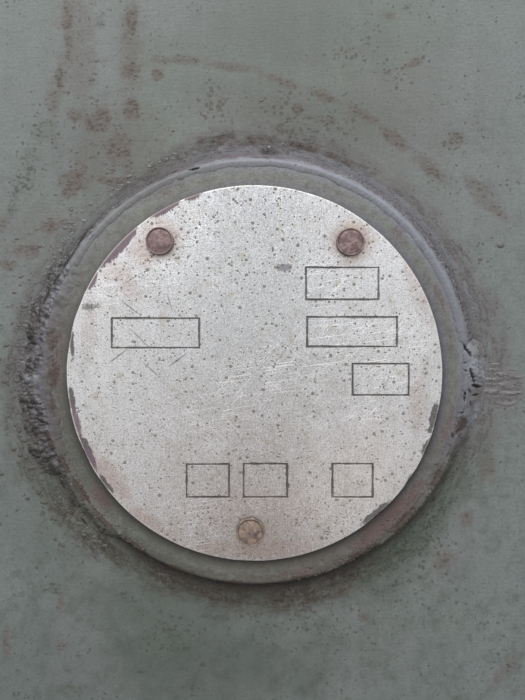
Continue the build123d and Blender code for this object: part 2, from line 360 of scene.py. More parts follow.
# %% Weathered enamel for the wall
def weathered_enamel():
    """Chalky grey-green enamel with smears, specks and a dark scaly belt round the weld."""
    material, point, parts = new_finish("weathered_grey_green_enamel")
    radius, degrees, streak = round_the_pad(point)

    # Tone drifts over a hand's width, rain leaves faint upright bands, and the damp low part is more mottled.
    # Each layer is laid as soon as its cover is known: the renderer keeps only so many unused values at a
    # time
    drift = add(NOISE, point, Scale=1 / 60, Detail=3, Roughness=0.55)
    upright = add(PLACE, point, Scale=(0.09, 0.09, 0.012))
    bands = add(NOISE, upright, Scale=1, Detail=4, Roughness=0.6)
    aside = add("ABSOLUTE", parts["X"])
    # The ground's tone by height is painted shade, darker below
    front = lay(ramp(parts["Z"], WALL_SHADE_BY_HEIGHT), [
        (add(RANGE, drift, 0.5, 0.66, 0, 0.7), "788279"),
        (add(RANGE, drift, 0.5, 0.36, 0, 0.7), "848685"),
        (add(RANGE, bands, 0.45, 0.7, 0, 0.5), "868c8b"),
        (add(RANGE, aside, 55, 125, 0, 0.5), "889091"),
    ])
    mottle = add(NOISE, point, Scale=0.17, Detail=5, Roughness=0.7)
    uneven = add(RANGE, parts["Z"], 130, -110, 0.3)
    darker = add(RANGE, mottle, 0.5, 0.7, 0, 0.7)
    lighter = add(RANGE, mottle, 0.48, 0.3, 0, 0.5)
    grain = add(NOISE, point, Scale=0.75, Detail=4, Roughness=0.7)
    front = lay(front, [
        (scaled(darker, uneven), "585d57"),
        (scaled(lighter, uneven), "8a918e"),
        (add(RANGE, grain, 0.42, 0.7, 0, 0.55), "636762"),
        (scaled(stain_field(point, DARKER_PATCHES, 0.3, 25), 0.6), "4f5650"),
    ])
    relief = scaled(grain, 0.16)

    # Smears: a thin mauve tint dragged sideways, and brown grains in rows over it and round it
    smears = scaled(stain_field(point, SMEARS, 0.6, 6), 1.6)
    dragged = add(PLACE, point, Scale=(0.16, 0.5, 0.9), Rotation=(0, math.radians(3), 0))
    strokes = add(NOISE, dragged, Scale=1, Detail=4, Roughness=0.65)
    relief = add("MULTIPLY_ADD", strokes, 0.12, relief)
    blotch = add(NOISE, point, Scale=0.42, Detail=4, Roughness=0.65)
    torn = add("ADD", strokes, blotch)
    tint_cover = scaled(smears, add(RANGE, torn, 0.8, 1.2, 0.4, 0.95))
    flattened = add(PLACE, point, Scale=(0.5, 0.5, 1))
    smear_grains = spots(flattened, 1.1, 0.85, smears, grain)
    around = add(RANGE, smears, 0.02, 0.3, 0, 0.65)
    front = lay(front, [(tint_cover, "6e635e"), (scaled(smear_grains, around), "514843")])

    # The belt outside the toe: scale that thins out unevenly, darkest against the weld
    toe = ramp(degrees, TOE)
    welded = add(RANGE, toe, 0.02, 0.12)
    beyond = add("SUBTRACT", radius, add("MULTIPLY_ADD", toe, TOE_PART, pad_radius / MM))
    wander = add(NOISE, point, Scale=0.11, Detail=5, Roughness=0.65)
    width = add("MULTIPLY_ADD", wander, 18, add("MULTIPLY", ramp(degrees, BELT_WIDTH), BELT_PART))
    belt = add(RANGE, add("SUBTRACT", width, beyond), 1, 12, **SMOOTH)
    ring = add(NOISE, streak, Scale=0.8, Detail=5, Roughness=0.65)
    swept = add("ADD", ring, blotch)
    belt_tint = scaled(belt, add(RANGE, swept, 0.8, 1.2, 0.35, 0.95))
    belt_grains = scaled(spots(streak, 0.7, 0.5, belt, grain), belt)
    front = lay(front, [(belt_tint, ramp(degrees, BELT_COLOUR)), (scaled(belt_grains, 0.3), "544c4a")])
    dull = add("MAXIMUM", tint_cover, belt_tint)
    relief = add("MULTIPLY_ADD", belt_grains, 0.2, relief)

    # The weld's paint is drawn out over its toe, in tongues that follow the rim
    tongues = add(RANGE, add("MULTIPLY_ADD", ring, 6, beyond), 7.5, 3, 0, 0.7)
    front = lay(front, [(scaled(tongues, welded), ramp(degrees, WELD_PAINT))])

    # Dark dirt, moss and rust
    dirt = scaled(stain_field(point, DARK_DIRT, 0.5, 6), 1.6)
    dirt_grains = scaled(spots(flattened, 1.7, 1.2, dirt, grain), scaled(dirt, 3))
    front = lay(front, [(thinned(dirt, torn, 0.45), "5a5e57"), (scaled(dirt_grains, 0.7), "4a4a45")])
    relief = add("MULTIPLY_ADD", dirt_grains, 0.08, relief)
    moss = scaled(stain_field(point, MOSS, 0.5, 7), 1.4)
    moss_grains = scaled(spots(point, 1.3, 0.9, moss, grain), scaled(moss, 2))
    front = lay(front, [(scaled(moss, 0.4), "545c52"), (scaled(moss_grains, 0.62), "383c35")])
    rust = scaled(stain_field(point, RUST_RUNS, 0.5, 6), 1.5)
    rust_grains = scaled(spots(point, 1.6, 1.1, rust, grain), scaled(rust, 2))
    near = add("MULTIPLY_ADD", welded, 3.5, add("MULTIPLY_ADD", swept, 4, beyond))
    near = add(RANGE, near, 10.5, 6.5)
    front = lay(front, [
        (thinned(rust, swept, 0.85), "473f37"),
        (scaled(rust_grains, 0.7), "3a2e27"),
        (scaled(near, ramp(degrees, TOE_DIRT)), "3b3531"),
        (scaled(stain_field(point, TOE_GAPS, 0.45, 2), 0.9), "262320"),
    ])

    # Specks that lie everywhere, in loose crowds, more of them where it is damp
    crowds = add(NOISE, point, Scale=0.045, Detail=3, Roughness=0.6)
    crowding = add(RANGE, crowds, 0.42, 0.66, 0.25, 0.75)
    crowding = add("MAXIMUM", stain_field(point, SPECK_CROWDS, 0.4, 8), crowding)
    loose = spots(point, 2, 1.3, crowding, grain)
    pale = specks(point, 0.7, 0, share=0.02, softness=0.04, seed=7)
    front = lay(front, [(scaled(loose, 0.8), "53514a"), (scaled(pale, 0.35), "a5a7a4")])

    # The enamel wraps round the front edge. Behind it lies cut steel, and red-brown primer on the back
    on_edge = add("GREATER_THAN", parts["Y"], wall_front / MM + 0.6)
    on_back = add("GREATER_THAN", parts["Y"], -0.3)
    steel = lay(linear("7d766f"), [(strokes, "5f5750"), (loose, "54402f")])
    primer = lay(linear("6c4a40"), [(wander, "5a3c34"), (strokes, "7a5648")])
    colour = lay(front, [(on_edge, steel), (on_back, primer)])

    # Dirt is duller than paint, and stands a little proud of it, but only in front
    dull = add("SUBTRACT", dull, on_back, use_clamp=True)
    relief = add(MIX, sockets={0: on_back, 2: relief, 3: scaled(strokes, 0.3)})
    return finish_surface(material, colour, add(RANGE, dull, 0, 1, 0.6, 0.85), relief)


coat(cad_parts["tank_wall"], weathered_enamel())

# %% [markdown]
# The pad carries the same enamel, but hands, tools and the welder's heat have worn it through to a mauve
# primer in places, most at the lower right. The paint's tone changes round the ring, grey with a touch of
# lavender above, olive below, so one colour ramp runs round by angle. Scratches and drips follow the ring
# too.

# %% Worn enamel over primer for the pad
PAD_PAINT = [
    (-180, "625d5a"), (-155, "50514b"), (-125, "53564e"), (-90, "5f5d54"), (-60, "5d5652"), (-25, "67646a"),
    (0, "727280"), (40, "77777f"), (90, "7d7d80"), (125, "7c7d78"), (145, "777974"), (165, "706c6a"),
    (180, "66615e"),
]
PAD_MIDDLE = [
    (-180, "6a655f"), (-155, "62645b"), (-125, "676b60"), (-90, "6d6c61"), (-60, "69625d"), (-25, "6f6c68"),
    (0, "777870"), (40, "7e817b"), (90, "84857f"), (125, "82857d"), (165, "716e68"), (180, "6a655f"),
]
# How dark the corner under the plate's rim is, dirt with a painted shade that is strongest below, and how wide
# a painted shadow lies beside it
CORNER_DIRT_AND_SHADE = [
    (-180, 0.6), (-140, 0.95), (-90, 0.9), (-40, 0.95), (-10, 0.7), (20, 0.45), (60, 0.35), (90, 0.25),
    (130, 0.35), (160, 0.5), (180, 0.6),
]
CORNER_SHADE = [
    (-180, 0.35), (-150, 0.8), (-90, 0.7), (-50, 0.8), (-15, 0.35), (30, 0.15), (90, 0.1), (150, 0.2),
    (180, 0.35),
]
CRUST = [
    (-180, 1), (-165, 1), (-140, 0.9), (-110, 0.6), (-70, 0.85), (-25, 0.85), (0, 0.5), (60, 0.35),
    (150, 0.5), (165, 1), (180, 1),
]
PRIMER_PATCHES = [
    (57, -64, 20, 5.5, 40, 1.7), (68, -52, 12, 4, 52, 0.8), (80, 32, 4, 10, 20, 0.7),
    (62, 60, 5, 3.5, -45, 0.8), (-38, 78, 8, 3.5, 25, 0.6), (-66, -54, 5, 8, 40, 1),
    (84, -24, 4, 14, -12, 0.8), (20, -86, 20, 2.4, 8, 0.7), (-85, 8, 4, 20, 0, 0.6),
]
# Rust and crumbs on the weld and on the pad's edge
RUSTY_CRACKS = [
    (-88, -29, 6, 1.8, -64, 1.4), (-82, -39, 6, 1.8, -58, 1.5), (-74.5, -50.5, 8, 1.8, -55, 1.4),
    (-66, -62, 9, 1.8, -46, 1.2), (-52, -73.5, 9, 1.6, -36, 1.1), (-31, -84.6, 10, 1.4, -20, 1),
    (-8, -89.8, 10, 1.2, -5, 0.8), (20, -87.8, 10, 1.4, 13, 0.8), (45, -78, 10, 2, 31, 1.1),
    (63.5, -63.5, 10, 2, 46, 1.1), (78, -44.5, 8, 1.6, 60, 1), (-87, 14, 3.4, 9, 0, 0.8),
    (-86, 0, 3.4, 8, 0, 0.9), (-87, -14, 3, 6, 0, 0.8), (88.5, -22.5, 4.4, 5.4, 0, 0.9),
    (3, 93, 6, 1, 0, 0.8),
]


def worn_pad_enamel():
    """Grey-green enamel with worn patches of mauve primer, and dirt with painted shade in the corner under the
    plate's rim.
    """
    material, point, _ = new_finish("enamel_over_mauve_primer")
    radius, degrees, streak = round_the_pad(point)
    mottle = add(NOISE, point, Scale=0.28, Detail=5, Roughness=0.65)
    grain = add(NOISE, point, Scale=0.9, Detail=4, Roughness=0.7)
    drawn = add(NOISE, streak, Scale=1, Detail=5, Roughness=0.7)
    plate_edge = plate_radius / MM
    pad_edge = pad_radius / MM

    # The ring is greener along its middle than at its two edges
    ragged = add("MULTIPLY_ADD", mottle, 3, radius)
    off_middle = add("ABSOLUTE", add("SUBTRACT", ragged, plate_edge + 6.7))
    middle = add(RANGE, off_middle, 3.6, 0.8, **SMOOTH)

    patches = stain_field(point, PRIMER_PATCHES, 0.5, 4)
    texture = add("ADD", drawn, grain)
    primer_cover = broken_up(patches, texture, 0.75)
    primer = lay(linear("634a48"), [(mottle, "776364")])
    dark = specks(point, 0.9, mottle, share=0.02, softness=0.1, seed=11)
    corner = add("MULTIPLY_ADD", grain, -2.4, radius)
    in_corner = add(RANGE, corner, plate_edge + 1.6, plate_edge - 1.2, **SMOOTH)
    beside = add(RANGE, corner, plate_edge + 4.4, plate_edge - 1)
    welded = add(RANGE, ramp(degrees, TOE), 0.02, 0.12)
    crusty = scaled(add(RANGE, radius, pad_edge - 10, pad_edge - 4), ramp(degrees, CRUST))
    crust = scaled(add(RANGE, texture, 1.02, 1.18), crusty)
    chips = scaled(add(RANGE, texture, 0.92, 0.76), crusty)
    drawn_in = add(RANGE, add("MULTIPLY_ADD", drawn, 5, radius), pad_edge - 2.5, pad_edge + 1, 0, 0.8)
    colour = lay(ramp(degrees, PAD_PAINT), [
        (middle, ramp(degrees, PAD_MIDDLE)),
        (add(RANGE, mottle, 0.48, 0.68, 0, 0.6), "5b5856"),
        (add(RANGE, mottle, 0.48, 0.32, 0, 0.4), "8a8b8c"),
        (add(RANGE, drawn, 0.55, 0.75, 0, 0.3), "868789"),
        (add(RANGE, grain, 0.45, 0.75, 0, 0.45), "5c5955"),
        (primer_cover, primer),
        (scaled(drawn_in, welded), ramp(degrees, WELD_PAINT)),
        (scaled(dark, 0.6), "46413d"),
        (scaled(chips, 0.4), "8b8886"),
        (scaled(crust, 0.6), "3f3835"),
        (scaled(broken_up(stain_field(point, RUSTY_CRACKS, 0.4, 2.5), texture, 1), 0.85), "45332d"),
        # A painted shadow beside the plate's rim, then dirt with painted shade in the corner under it
        (scaled(beside, ramp(degrees, CORNER_SHADE)), "3d3b34"),
        (scaled(in_corner, ramp(degrees, CORNER_DIRT_AND_SHADE)), "35322d"),
        (add(RANGE, corner, pad_edge - 2.6, pad_edge - 1, 0, 0.7), "463f3a"),
    ])
    relief = built_up((grain, 0.2), [(drawn, 0.2), (primer_cover, -0.1)])
    return finish_surface(material, colour, add(RANGE, primer_cover, 0, 1, 0.55, 0.85), relief)


pad_finish = worn_pad_enamel()

# %% [markdown]
# The plate is aluminium sheet, brushed upright before it was engraved and outdoors ever since. Aluminium
# doesn't rust, it pits: each pit holds a grain of dirt. The eye sees a pale, broken shine, brighter above,
# stained pink and brown near the rim, with mauve primer left where a paint brush ran over the edge. The
# colour carries that shine as a painted reflection: darker below and lighter towards the sides.

# %% Marks on the plate
RIM_PRIMER = [
    (-38, 70.5, 10, 3, 29, 1.3), (-58, 54, 14, 3.4, 47, 1.4), (-69.5, 39, 2.4, 6, -28, 1.2),
    (-26, 75, 5, 2, 18, 1), (-76, -20, 2.4, 10, 14, 1), (-70, -37, 2.6, 8, 28, 1.1),
]
RIM_WEAR = [
    (-70, 28, 7, 2.6, 5, 0.62), (-76, 30, 1.4, 6, -8, 0.8), (-77.5, -12, 1.8, 8, 9, 1),
    (-71, -33, 2.2, 9, 25, 1.2), (-63, -47, 1.6, 8, 38, 0.9), (76, -19, 2, 8, -14, 1.2),
    (73, -31, 1.6, 6, -24, 1), (51.5, -59.8, 9, 2, 40, 1.4), (66, -45, 5, 1.2, 52, 0.9),
    (-77.6, 13, 1.5, 11, 4, 0.8),
]
PLATE_STAINS = [
    (-47, 51, 8, 7, 40, 0.9), (-56, 40, 7, 13, 45, 0.7), (-50, 64, 8, 3, 40, 0.7), (42, 57, 8, 7.5, 0, 1),
    (-39, 56, 9, 8.5, 0, 0.7), (-70, 20, 5, 16, 0, 0.5), (-62, -44, 6, 18, 40, 0.9),
    (-46, -62, 16, 4, -35, 0.8), (0, -58, 40, 16, 0, 0.3), (70, 34, 5, 16, 20, 0.6), (0, -74, 34, 5, 0, 0.7),
    (70, -12, 6, 20, 0, 0.5),
]
# Rust that ran out from under the rivet heads, and a patch that is lighter
HEAD_RINGS = [(-40, 56.5, 9.6, 9.2, 0, 1), (41, 55.5, 9.8, 9.8, 0, 1.2), (-2, -67, 8, 7.6, 0, 0.7)]
LIGHTER_PATCH = [(42, -46, 32, 24, 40, 1)]
PLATE_MARKS = [
    (-58.2, 7, 6, 0.4, 37, 1.1), (-32.7, 5.5, 6, 0.4, 35, 1.1), (-53, 28, 7, 0.36, -38, 1),
    (-36, 30, 6, 0.36, -72, 0.9), (-44, 1.5, 7, 0.36, -42, 0.9), (-49, 15, 9, 0.34, -44, 0.9),
    (27, 53, 7, 0.22, 30, 0.7), (12.3, 44.8, 4.2, 2, 4, 1.3), (31, -67.4, 2.4, 0.35, -8, 1.4),
    (-30, 53.6, 4, 0.25, 2, 1), (-52, 40, 6, 0.3, 32, 0.9), (-34, -71, 1, 0.7, 0, 1.2),
]
# By height, a painted reflection: brightest across the middle, darker below and a little darker at the top
PLATE_SHEEN_BY_HEIGHT = [
    (-80, "998f8d"), (-57, "aca4a3"), (-25, "b5b0af"), (9, "b7b7b8"), (40, "b2b3b5"), (62, "aaabad"),
    (80, "a4a5a8"),
]
# How bright the rim's bevel is, by angle: rubbed metal with a painted highlight
RIM_HIGHLIGHT_AND_WEAR = [
    (-180, 0.8), (-140, 0.6), (-120, 0.25), (-60, 0.1), (-20, 0.5), (20, 0.6), (60, 0.3), (120, 0.3),
    (150, 0.7), (180, 0.8),
]

# %% Pitted brushed aluminium for the plate
def pitted_aluminium():
    """Brushed aluminium with pits, stains, worn rim and dark grooves."""
    material, point, parts = new_finish("pitted_brushed_aluminium")
    radius, degrees, _ = round_the_pad(point)
    rim = plate_radius / MM
    face = plate_front / MM

    # Brushing: hairlines half a millimetre apart, drawn as coarse as they need to be to show, under oxide
    # grain
    upright = add(PLACE, point, Scale=(1.5, 1, 0.13), Rotation=(0, math.radians(2), 0))
    brushing = add(NOISE, upright, Scale=1, Detail=4, Roughness=0.7)
    broad = add(PLACE, point, Scale=(0.16, 0.16, 0.03))
    bands = add(NOISE, broad, Scale=1, Detail=4, Roughness=0.6)
    cloud = add(NOISE, point, Scale=0.12, Detail=5, Roughness=0.7)
    grain = add(NOISE, point, Scale=1.6, Detail=2, Roughness=0.75)
    aside = add("ABSOLUTE", parts["X"])
    # The ground is a painted reflection: lighter towards both sides, darker below and a little at the top
    ground = lay(ramp(parts["Z"], PLATE_SHEEN_BY_HEIGHT), [
        (add(RANGE, aside, 12, 64, 0, 0.75), "d6d5d6"),
        (scaled(stain_field(point, LIGHTER_PATCH, 0.3, 14), 0.6), "d6cdca"),
        (add(RANGE, bands, 0.45, 0.7, 0, 0.35), "b5b3ad"),
        (add(RANGE, brushing, 0.5, 0.72, 0, 0.4), "8f8c86"),
        (add(RANGE, brushing, 0.48, 0.3, 0, 0.3), "e2e3e6"),
        (add(RANGE, cloud, 0.5, 0.72, 0, 0.35), "989389"),
        (add(RANGE, cloud, 0.46, 0.3, 0, 0.25), "dcdde0"),
        (add(RANGE, grain, 0.53, 0.74, 0, 0.75), "74716b"),
        (add(RANGE, grain, 0.48, 0.3, 0, 0.5), "eceded"),
    ])

    # Hairline scratches cross each other in a few loose bundles
    bundles = add(RANGE, add(NOISE, point, Scale=0.025, Detail=2), 0.48, 0.6, 0.1)
    scratch = None
    for turn, width in ((40, 0.35), (-48, 0.3), (-8, 0.35)):
        lengthwise = add(PLACE, point, Rotation=(0, math.radians(turn), 0), Scale=(22, 1, width),
                         vector_type="TEXTURE")
        lines = add(RANGE, add(NOISE, lengthwise, Scale=1, Detail=1), 0.63, 0.7)
        scratch = lines if scratch is None else add("MAXIMUM", scratch, lines)
    scratch = scaled(scratch, bundles)

    # Pink and brown stains near the rim and round the rivets
    stains = stain_field(point, PLATE_STAINS, 0.35, 6)
    stain_cover = add(RANGE, add("MULTIPLY_ADD", grain, 0.8, stains), 0.5, 1.5, 0, 0.75)

    # Pits of three sizes with olive dirt in them, and a faint tint in patches round them
    crowds = add(NOISE, point, Scale=0.05, Detail=2)
    halo = specks(point, 1.8, crowds, share=-0.01, softness=0.16, seed=21, detail=0.3)
    small = specks(point, 0.65, crowds, share=-0.01, softness=0.09, seed=22, detail=1)
    pit = add("MAXIMUM", scaled(round_spots(point, 5, 1.15), 0.85), small)
    pit = add("MAXIMUM", pit, round_spots(point, 2.4, 0.5))

    # Worn dark patches, leftover primer at the rim, and single marks
    wear = stain_field(point, RIM_WEAR, 0.35, 3)
    wear_cover = add(RANGE, add("MULTIPLY_ADD", grain, 0.6, wear), 0.7, 1, 0, 0.9)
    worn = lay(linear("4c4544"), [(add(RANGE, grain, 0.42, 0.62), "767274")])
    round_heads = stain_field(point, HEAD_RINGS, 0.3, 2)
    rings = lay(linear("8d7a6c"), [(add(RANGE, cloud, 0.4, 0.6), "a89a8d")])
    primer = stain_field(point, RIM_PRIMER, 0.2, 5)
    primer_cover = add(RANGE, add("MULTIPLY_ADD", brushing, 1.6, primer), 1.25, 1.55, 0, 0.9)
    primer_cover = scaled(primer_cover, add("GREATER_THAN", primer, 0.05))
    marks = stain_field(point, PLATE_MARKS, 0.15, 2)
    mark_cover = add(RANGE, add("MULTIPLY_ADD", grain, 0.5, marks), 0.6, 1.1, 0, 0.8)

    # Grooves hold old dirt: whatever lies below the front face is dark, but not the rim, whose bevel is rubbed
    # bright and carries a painted highlight
    sunk = add(RANGE, parts["Y"], face + 0.01, face + 0.06, 0, 0.9)
    in_face = add(RANGE, radius, rim - 0.9, rim - 1.5)
    patchy = add(RANGE, cloud, 0.3, 0.6, 0.7)
    groove_cover = scaled(scaled(sunk, in_face), patchy)
    on_rim = add(RANGE, radius, rim - 0.95, rim - 0.6)
    rim_highlight_and_wear = scaled(scaled(on_rim, ramp(degrees, RIM_HIGHLIGHT_AND_WEAR)), patchy)

    colour = lay(ground, [
        (scaled(stain_cover, 0.85), "a1897f"),
        (scaled(round_heads, 0.75), rings),
        (scaled(scratch, 0.6), "e8e8ea"),
        (scaled(halo, 0.4), "9f9578"),
        (wear_cover, worn),
        (mark_cover, "77757a"),
        (scaled(pit, 0.75), "6b6856"),
        (primer_cover, "7d6a72"),
        (rim_highlight_and_wear, "dddbd6"),
        (groove_cover, "54524e"),
    ])

    # Dirt and primer aren't metal
    soiled = pit
    for cover in (primer_cover, groove_cover, wear_cover):
        soiled = add("MAXIMUM", soiled, cover)
    metallic = add(RANGE, soiled, 0, 1, 0.95, 0.15)
    roughness = add("MULTIPLY_ADD", soiled, 0.3, add(RANGE, brushing, 0.3, 0.7, 0.4, 0.58))
    relief = built_up((brushing, 0.04), [(pit, -0.12), (grain, 0.05), (wear_cover, -0.1), (scratch, -0.04)])
    return finish_surface(material, colour, roughness, relief, metallic)


plate_finish = pitted_aluminium()

# %% [markdown]
# A plate, a rivet and a pad are all turned shapes: one outline, spun about an axis. This helper takes the
# outline as radius and height, spins it about an axis that faces the viewer and caps it, so the result is a
# closed solid. The holes for the rivets and the engraving come out of it with one Boolean.

# %% Turned solids and cuts
PLATE_STEPS, PAD_STEPS, RIVET_STEPS, HOLE_STEPS = 480, 640, 96, 48     # corners round each


def linked(name, data):
    """An object with this mesh, lamp or camera, in the scene."""
    made = bpy.data.objects.new(name, data)
    bpy.context.scene.collection.objects.link(made)
    return made


def from_bmesh(name, work):
    """A new mesh with outward faces from this working mesh."""
    bmesh.ops.recalc_face_normals(work, faces=work.faces)
    mesh = bpy.data.meshes.new(name)
    work.to_mesh(mesh)
    work.free()
    return mesh


def join_rings(work, rings, is_loop=False):
    """Joins rings of points with faces, and closes the two ends, or joins the last ring to the first."""
    steps = len(rings[0])
    for lower, upper in zip(rings, rings[1:] + rings[:1] if is_loop else rings[1:]):
        for step in range(steps):
            after = (step + 1) % steps
            work.faces.new((lower[step], lower[after], upper[after], upper[step]))
    if not is_loop:
        work.faces.new(rings[0])
        work.faces.new(rings[-1])


def add_turned(work, outline, x, z, back, steps):
    """Adds a closed solid from (radius, height) points in mm, spun about X, Z, with height to the viewer."""
    turns = [2 * math.pi * step / steps for step in range(steps)]
    rings = []
    for radius, height in outline:
        reach, y = radius * MM, back - height * MM
        places = [(x + reach * math.cos(turn), y, z + reach * math.sin(turn)) for turn in turns]
        rings.append([work.verts.new(place) for place in places])
    join_rings(work, rings)


def turned(name, outline, x, z, back, steps):
    """One turned solid as an object. The outline is in millimetres, the rest in metres."""
    work = bmesh.new()
    add_turned(work, outline, x, z, back, steps)
    return linked(name, from_bmesh(name, work))


def keep_result(piece):
    """Makes what the piece's modifiers show its own plain mesh."""
    evaluated = piece.evaluated_get(bpy.context.evaluated_depsgraph_get())
    mesh = bpy.data.meshes.new_from_object(evaluated)
    piece.modifiers.clear()
    piece.data = mesh


def cut_out(piece, work):
    """Takes a working mesh of closed cutters out of a piece."""
    cutter = linked("cutter", from_bmesh("cutter", work))
    cut = piece.modifiers.new("cut", "BOOLEAN")
    cut.object = cutter
    cut.operation = "DIFFERENCE"
    cut.solver = "EXACT"
    keep_result(piece)
    bpy.data.objects.remove(cutter)


def smooth_up_to(piece, degrees):
    """Shades a piece smooth, apart from edges sharper than this."""
    piece.data.shade_smooth()
    piece.data.set_sharp_from_angle(angle=math.radians(degrees))

# %% Rivet places
RIVET_NODES = ["rivet_top_left", "rivet_top_right", "rivet_bottom"]
SHANK_RADIUS = 3.0
HOLE_RADIUS = 3.05
TAIL_RADIUS = 4.95


def rivet_centre(node_name):
    """X and Z of a rivet's axis, from its CAD box."""
    low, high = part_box(node_name)
    return (low.x + high.x) / 2, (low.z + high.z) / 2


def add_rivet_holes(work, outline, back):
    """Adds one turned cutter for each rivet. The outline is in millimetres."""
    for node_name in RIVET_NODES:
        add_turned(work, outline, *rivet_centre(node_name), back, HOLE_STEPS)

# %% [markdown]
# The plate's own work is in its rim and its engraving. The rim was sheared and filed, so its edge wanders by
# a tenth of a millimetre and is rubbed away where ropes and boots caught it. The seven fields are V-grooves
# cut by hand along a rule. Each groove is a closed ring of cutters with mitred corners.

# %% The plate and its engraved fields
# Columns: left, right, bottom, top, in mm as everywhere
FIELDS = [
    (21.9, 52.7, 31.2, 44.8), (-60.6, -23.5, 10.7, 23.2), (22.4, 60.5, 11.2, 23.7), (41.7, 65.5, -9.4, 3.9),
    (-28.8, -10.8, -52.7, -38.8), (-4.6, 13.9, -52.7, -38.6), (33.1, 50.2, -52.7, -38.6),
]
GROOVE_WIDTH = 1.0
GROOVE_DEPTH = 0.3
CUTTER_RISE = 0.2          # how far the cutter stands out of the plate's face
PARTS_PER_SIDE = 8


def add_groove(work, left, right, bottom, top, seed):
    """Adds a closed V-shaped cutter round one field, a little uneven as a hand-held graver leaves it."""
    corners = [(left, bottom), (right, bottom), (right, top), (left, top)]
    outward = [(0, -1), (1, 0), (0, 1), (-1, 0)]
    rings = []
    for side in range(4):
        start, end = corners[side], corners[(side + 1) % 4]
        for part in range(PARTS_PER_SIDE):
            share = part / PARTS_PER_SIDE
            x = start[0] + (end[0] - start[0]) * share
            z = start[1] + (end[1] - start[1]) * share
            across = Vector(outward[side])
            if part == 0:
                across += Vector(outward[side - 1])
            shift = 0.1 * noise.noise(Vector((x * 0.3, z * 0.3, seed)))
            depth = GROOVE_DEPTH * (1 + 0.5 * noise.noise(Vector((x * 0.5, z * 0.5, seed + 5))))
            half = GROOVE_WIDTH / 2 * (depth + CUTTER_RISE) / GROOVE_DEPTH
            ring = []
            for reach, sink in ((half, -CUTTER_RISE), (0, depth), (-half, -CUTTER_RISE)):
                out = reach + shift
                place = Vector((x + across.x * out, plate_front / MM + sink, z + across.y * out))
                ring.append(work.verts.new(place * MM))
            rings.append(ring)
    join_rings(work, rings, is_loop=True)


def make_plate():
    """Disc with a worn rim, seven engraved fields and three rivet holes."""
    radius = plate_radius / MM
    thickness = (pad_front - plate_front) / MM
    outline = [(radius - 0.15, 0), (radius, 0.12)]
    outline += [(radius - inward, thickness - down)
                for inward, down in ((0, 0.4), (0.1, 0.18), (0.26, 0.05), (0.5, 0))]
    disc = turned("data_plate_disc", outline, 0, 0, pad_front, PLATE_STEPS)
    for vertex in disc.data.vertices:
        flat = Vector((vertex.co.x, 0, vertex.co.z)) / MM
        wander = 0.1 * noise.noise(flat * 0.12) - 0.1
        rubbed = 0.0
        for x, z, half_width, half_height, _, strength in RIM_WEAR:
            gap = (flat - Vector((x, 0, z))).length / max(half_width, half_height)
            rubbed = max(rubbed, strength * max(0.0, 1 - gap))
        is_face_edge = abs(vertex.co.y - plate_front) < 1e-6
        inward = rubbed * (0.9 if is_face_edge else 0.35) * (0.8 + 0.8 * noise.noise(flat * 0.8))
        scale = 1 + (wander - inward) / radius
        vertex.co.x *= scale
        vertex.co.z *= scale
    work = bmesh.new()
    for seed, (left, right, bottom, top) in enumerate(FIELDS):
        add_groove(work, left, right, bottom, top, seed * 7.3)
    add_rivet_holes(work, [(HOLE_RADIUS, -1), (HOLE_RADIUS, thickness + 1)], pad_front)
    cut_out(disc, work)
    smooth_up_to(disc, 5)
    coat(disc, plate_finish)
    return disc


plate = make_plate()
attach(plate, "root")
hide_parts("data_plate")
print("plate has", len(plate.data.polygons), "faces")

# %% [markdown]
# The pad was cut with a torch. Its edge is rounded over and a little scalloped, and its face was never
# machined, so it isn't flat either. Under the plate it stays flat, because the plate seats there.

# %% The pad
EDGE_ROUND = 1.6           # radius of the torch-cut edge in mm


def make_pad():
    """Disc with a rounded, torch-cut edge and an uneven ring round the plate."""
    radius = pad_radius / MM
    thickness = pad_thickness / MM
    plate_edge = plate_radius / MM
    outline = [(radius - 0.2, 0), (radius, 0.3)]
    outline += [(radius, height) for height in (1.2, 2.1, 3.0, 3.9)]
    for turn in (15, 30, 45, 60, 75, 90):
        share = math.radians(turn)
        outline.append((radius - EDGE_ROUND + EDGE_ROUND * math.cos(share),
                        thickness - EDGE_ROUND + EDGE_ROUND * math.sin(share)))
    outline += [(radius - EDGE_ROUND - step * 0.8, thickness) for step in range(1, 11)]
    outline += [(plate_edge + 0.2, thickness), (plate_edge - 2, thickness)]
    disc = turned("backing_pad_disc", outline, 0, 0, wall_front, PAD_STEPS)
    for vertex in disc.data.vertices:
        flat = Vector((vertex.co.x, 0, vertex.co.z)) / MM
        reach = flat.length
        if reach < plate_edge + 0.5:
            continue
        at_edge = min(1.0, max(0.0, (reach - radius + 2.4) / 2.0))
        scallop = abs(0.22 * noise.noise(flat * 0.35) + 0.12 * noise.noise(flat * 1.1)) * at_edge
        vertex.co.x *= 1 - scallop / reach
        vertex.co.z *= 1 - scallop / reach
        if vertex.co.y < wall_front - 4.5 * MM:
            at_ring = min(1.0, (reach - plate_edge - 0.5) / 1.5)
            waviness = 0.1 * noise.noise(flat * 0.16) + 0.07 * noise.noise(flat * 0.6)
            vertex.co.y += max(0.0, (0.1 - waviness) * at_ring) * MM
    work = bmesh.new()
    funnel = TAIL_RADIUS + 0.1
    hole = [(funnel + 1, -1), (HOLE_RADIUS, funnel - HOLE_RADIUS), (HOLE_RADIUS, thickness + 1)]
    add_rivet_holes(work, hole, wall_front)
    cut_out(disc, work)
    smooth_up_to(disc, 35)
    coat(disc, pad_finish)
    return disc


pad = make_pad()
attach(pad, "root")
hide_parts("backing_pad")
print("pad has", len(pad.data.polygons), "faces")

# %% [markdown]
# The rivets were hammered cold over 6 mm shanks, so no two heads match: the hammer leaves flats, the rim
# spreads unevenly and a thin lip stands up round the edge. They are turned from one outline, and a small
# Geometry Nodes tree then batters each head by its own amount. The steel has rusted to a dull mauve brown,
# and the lowest one to tan.

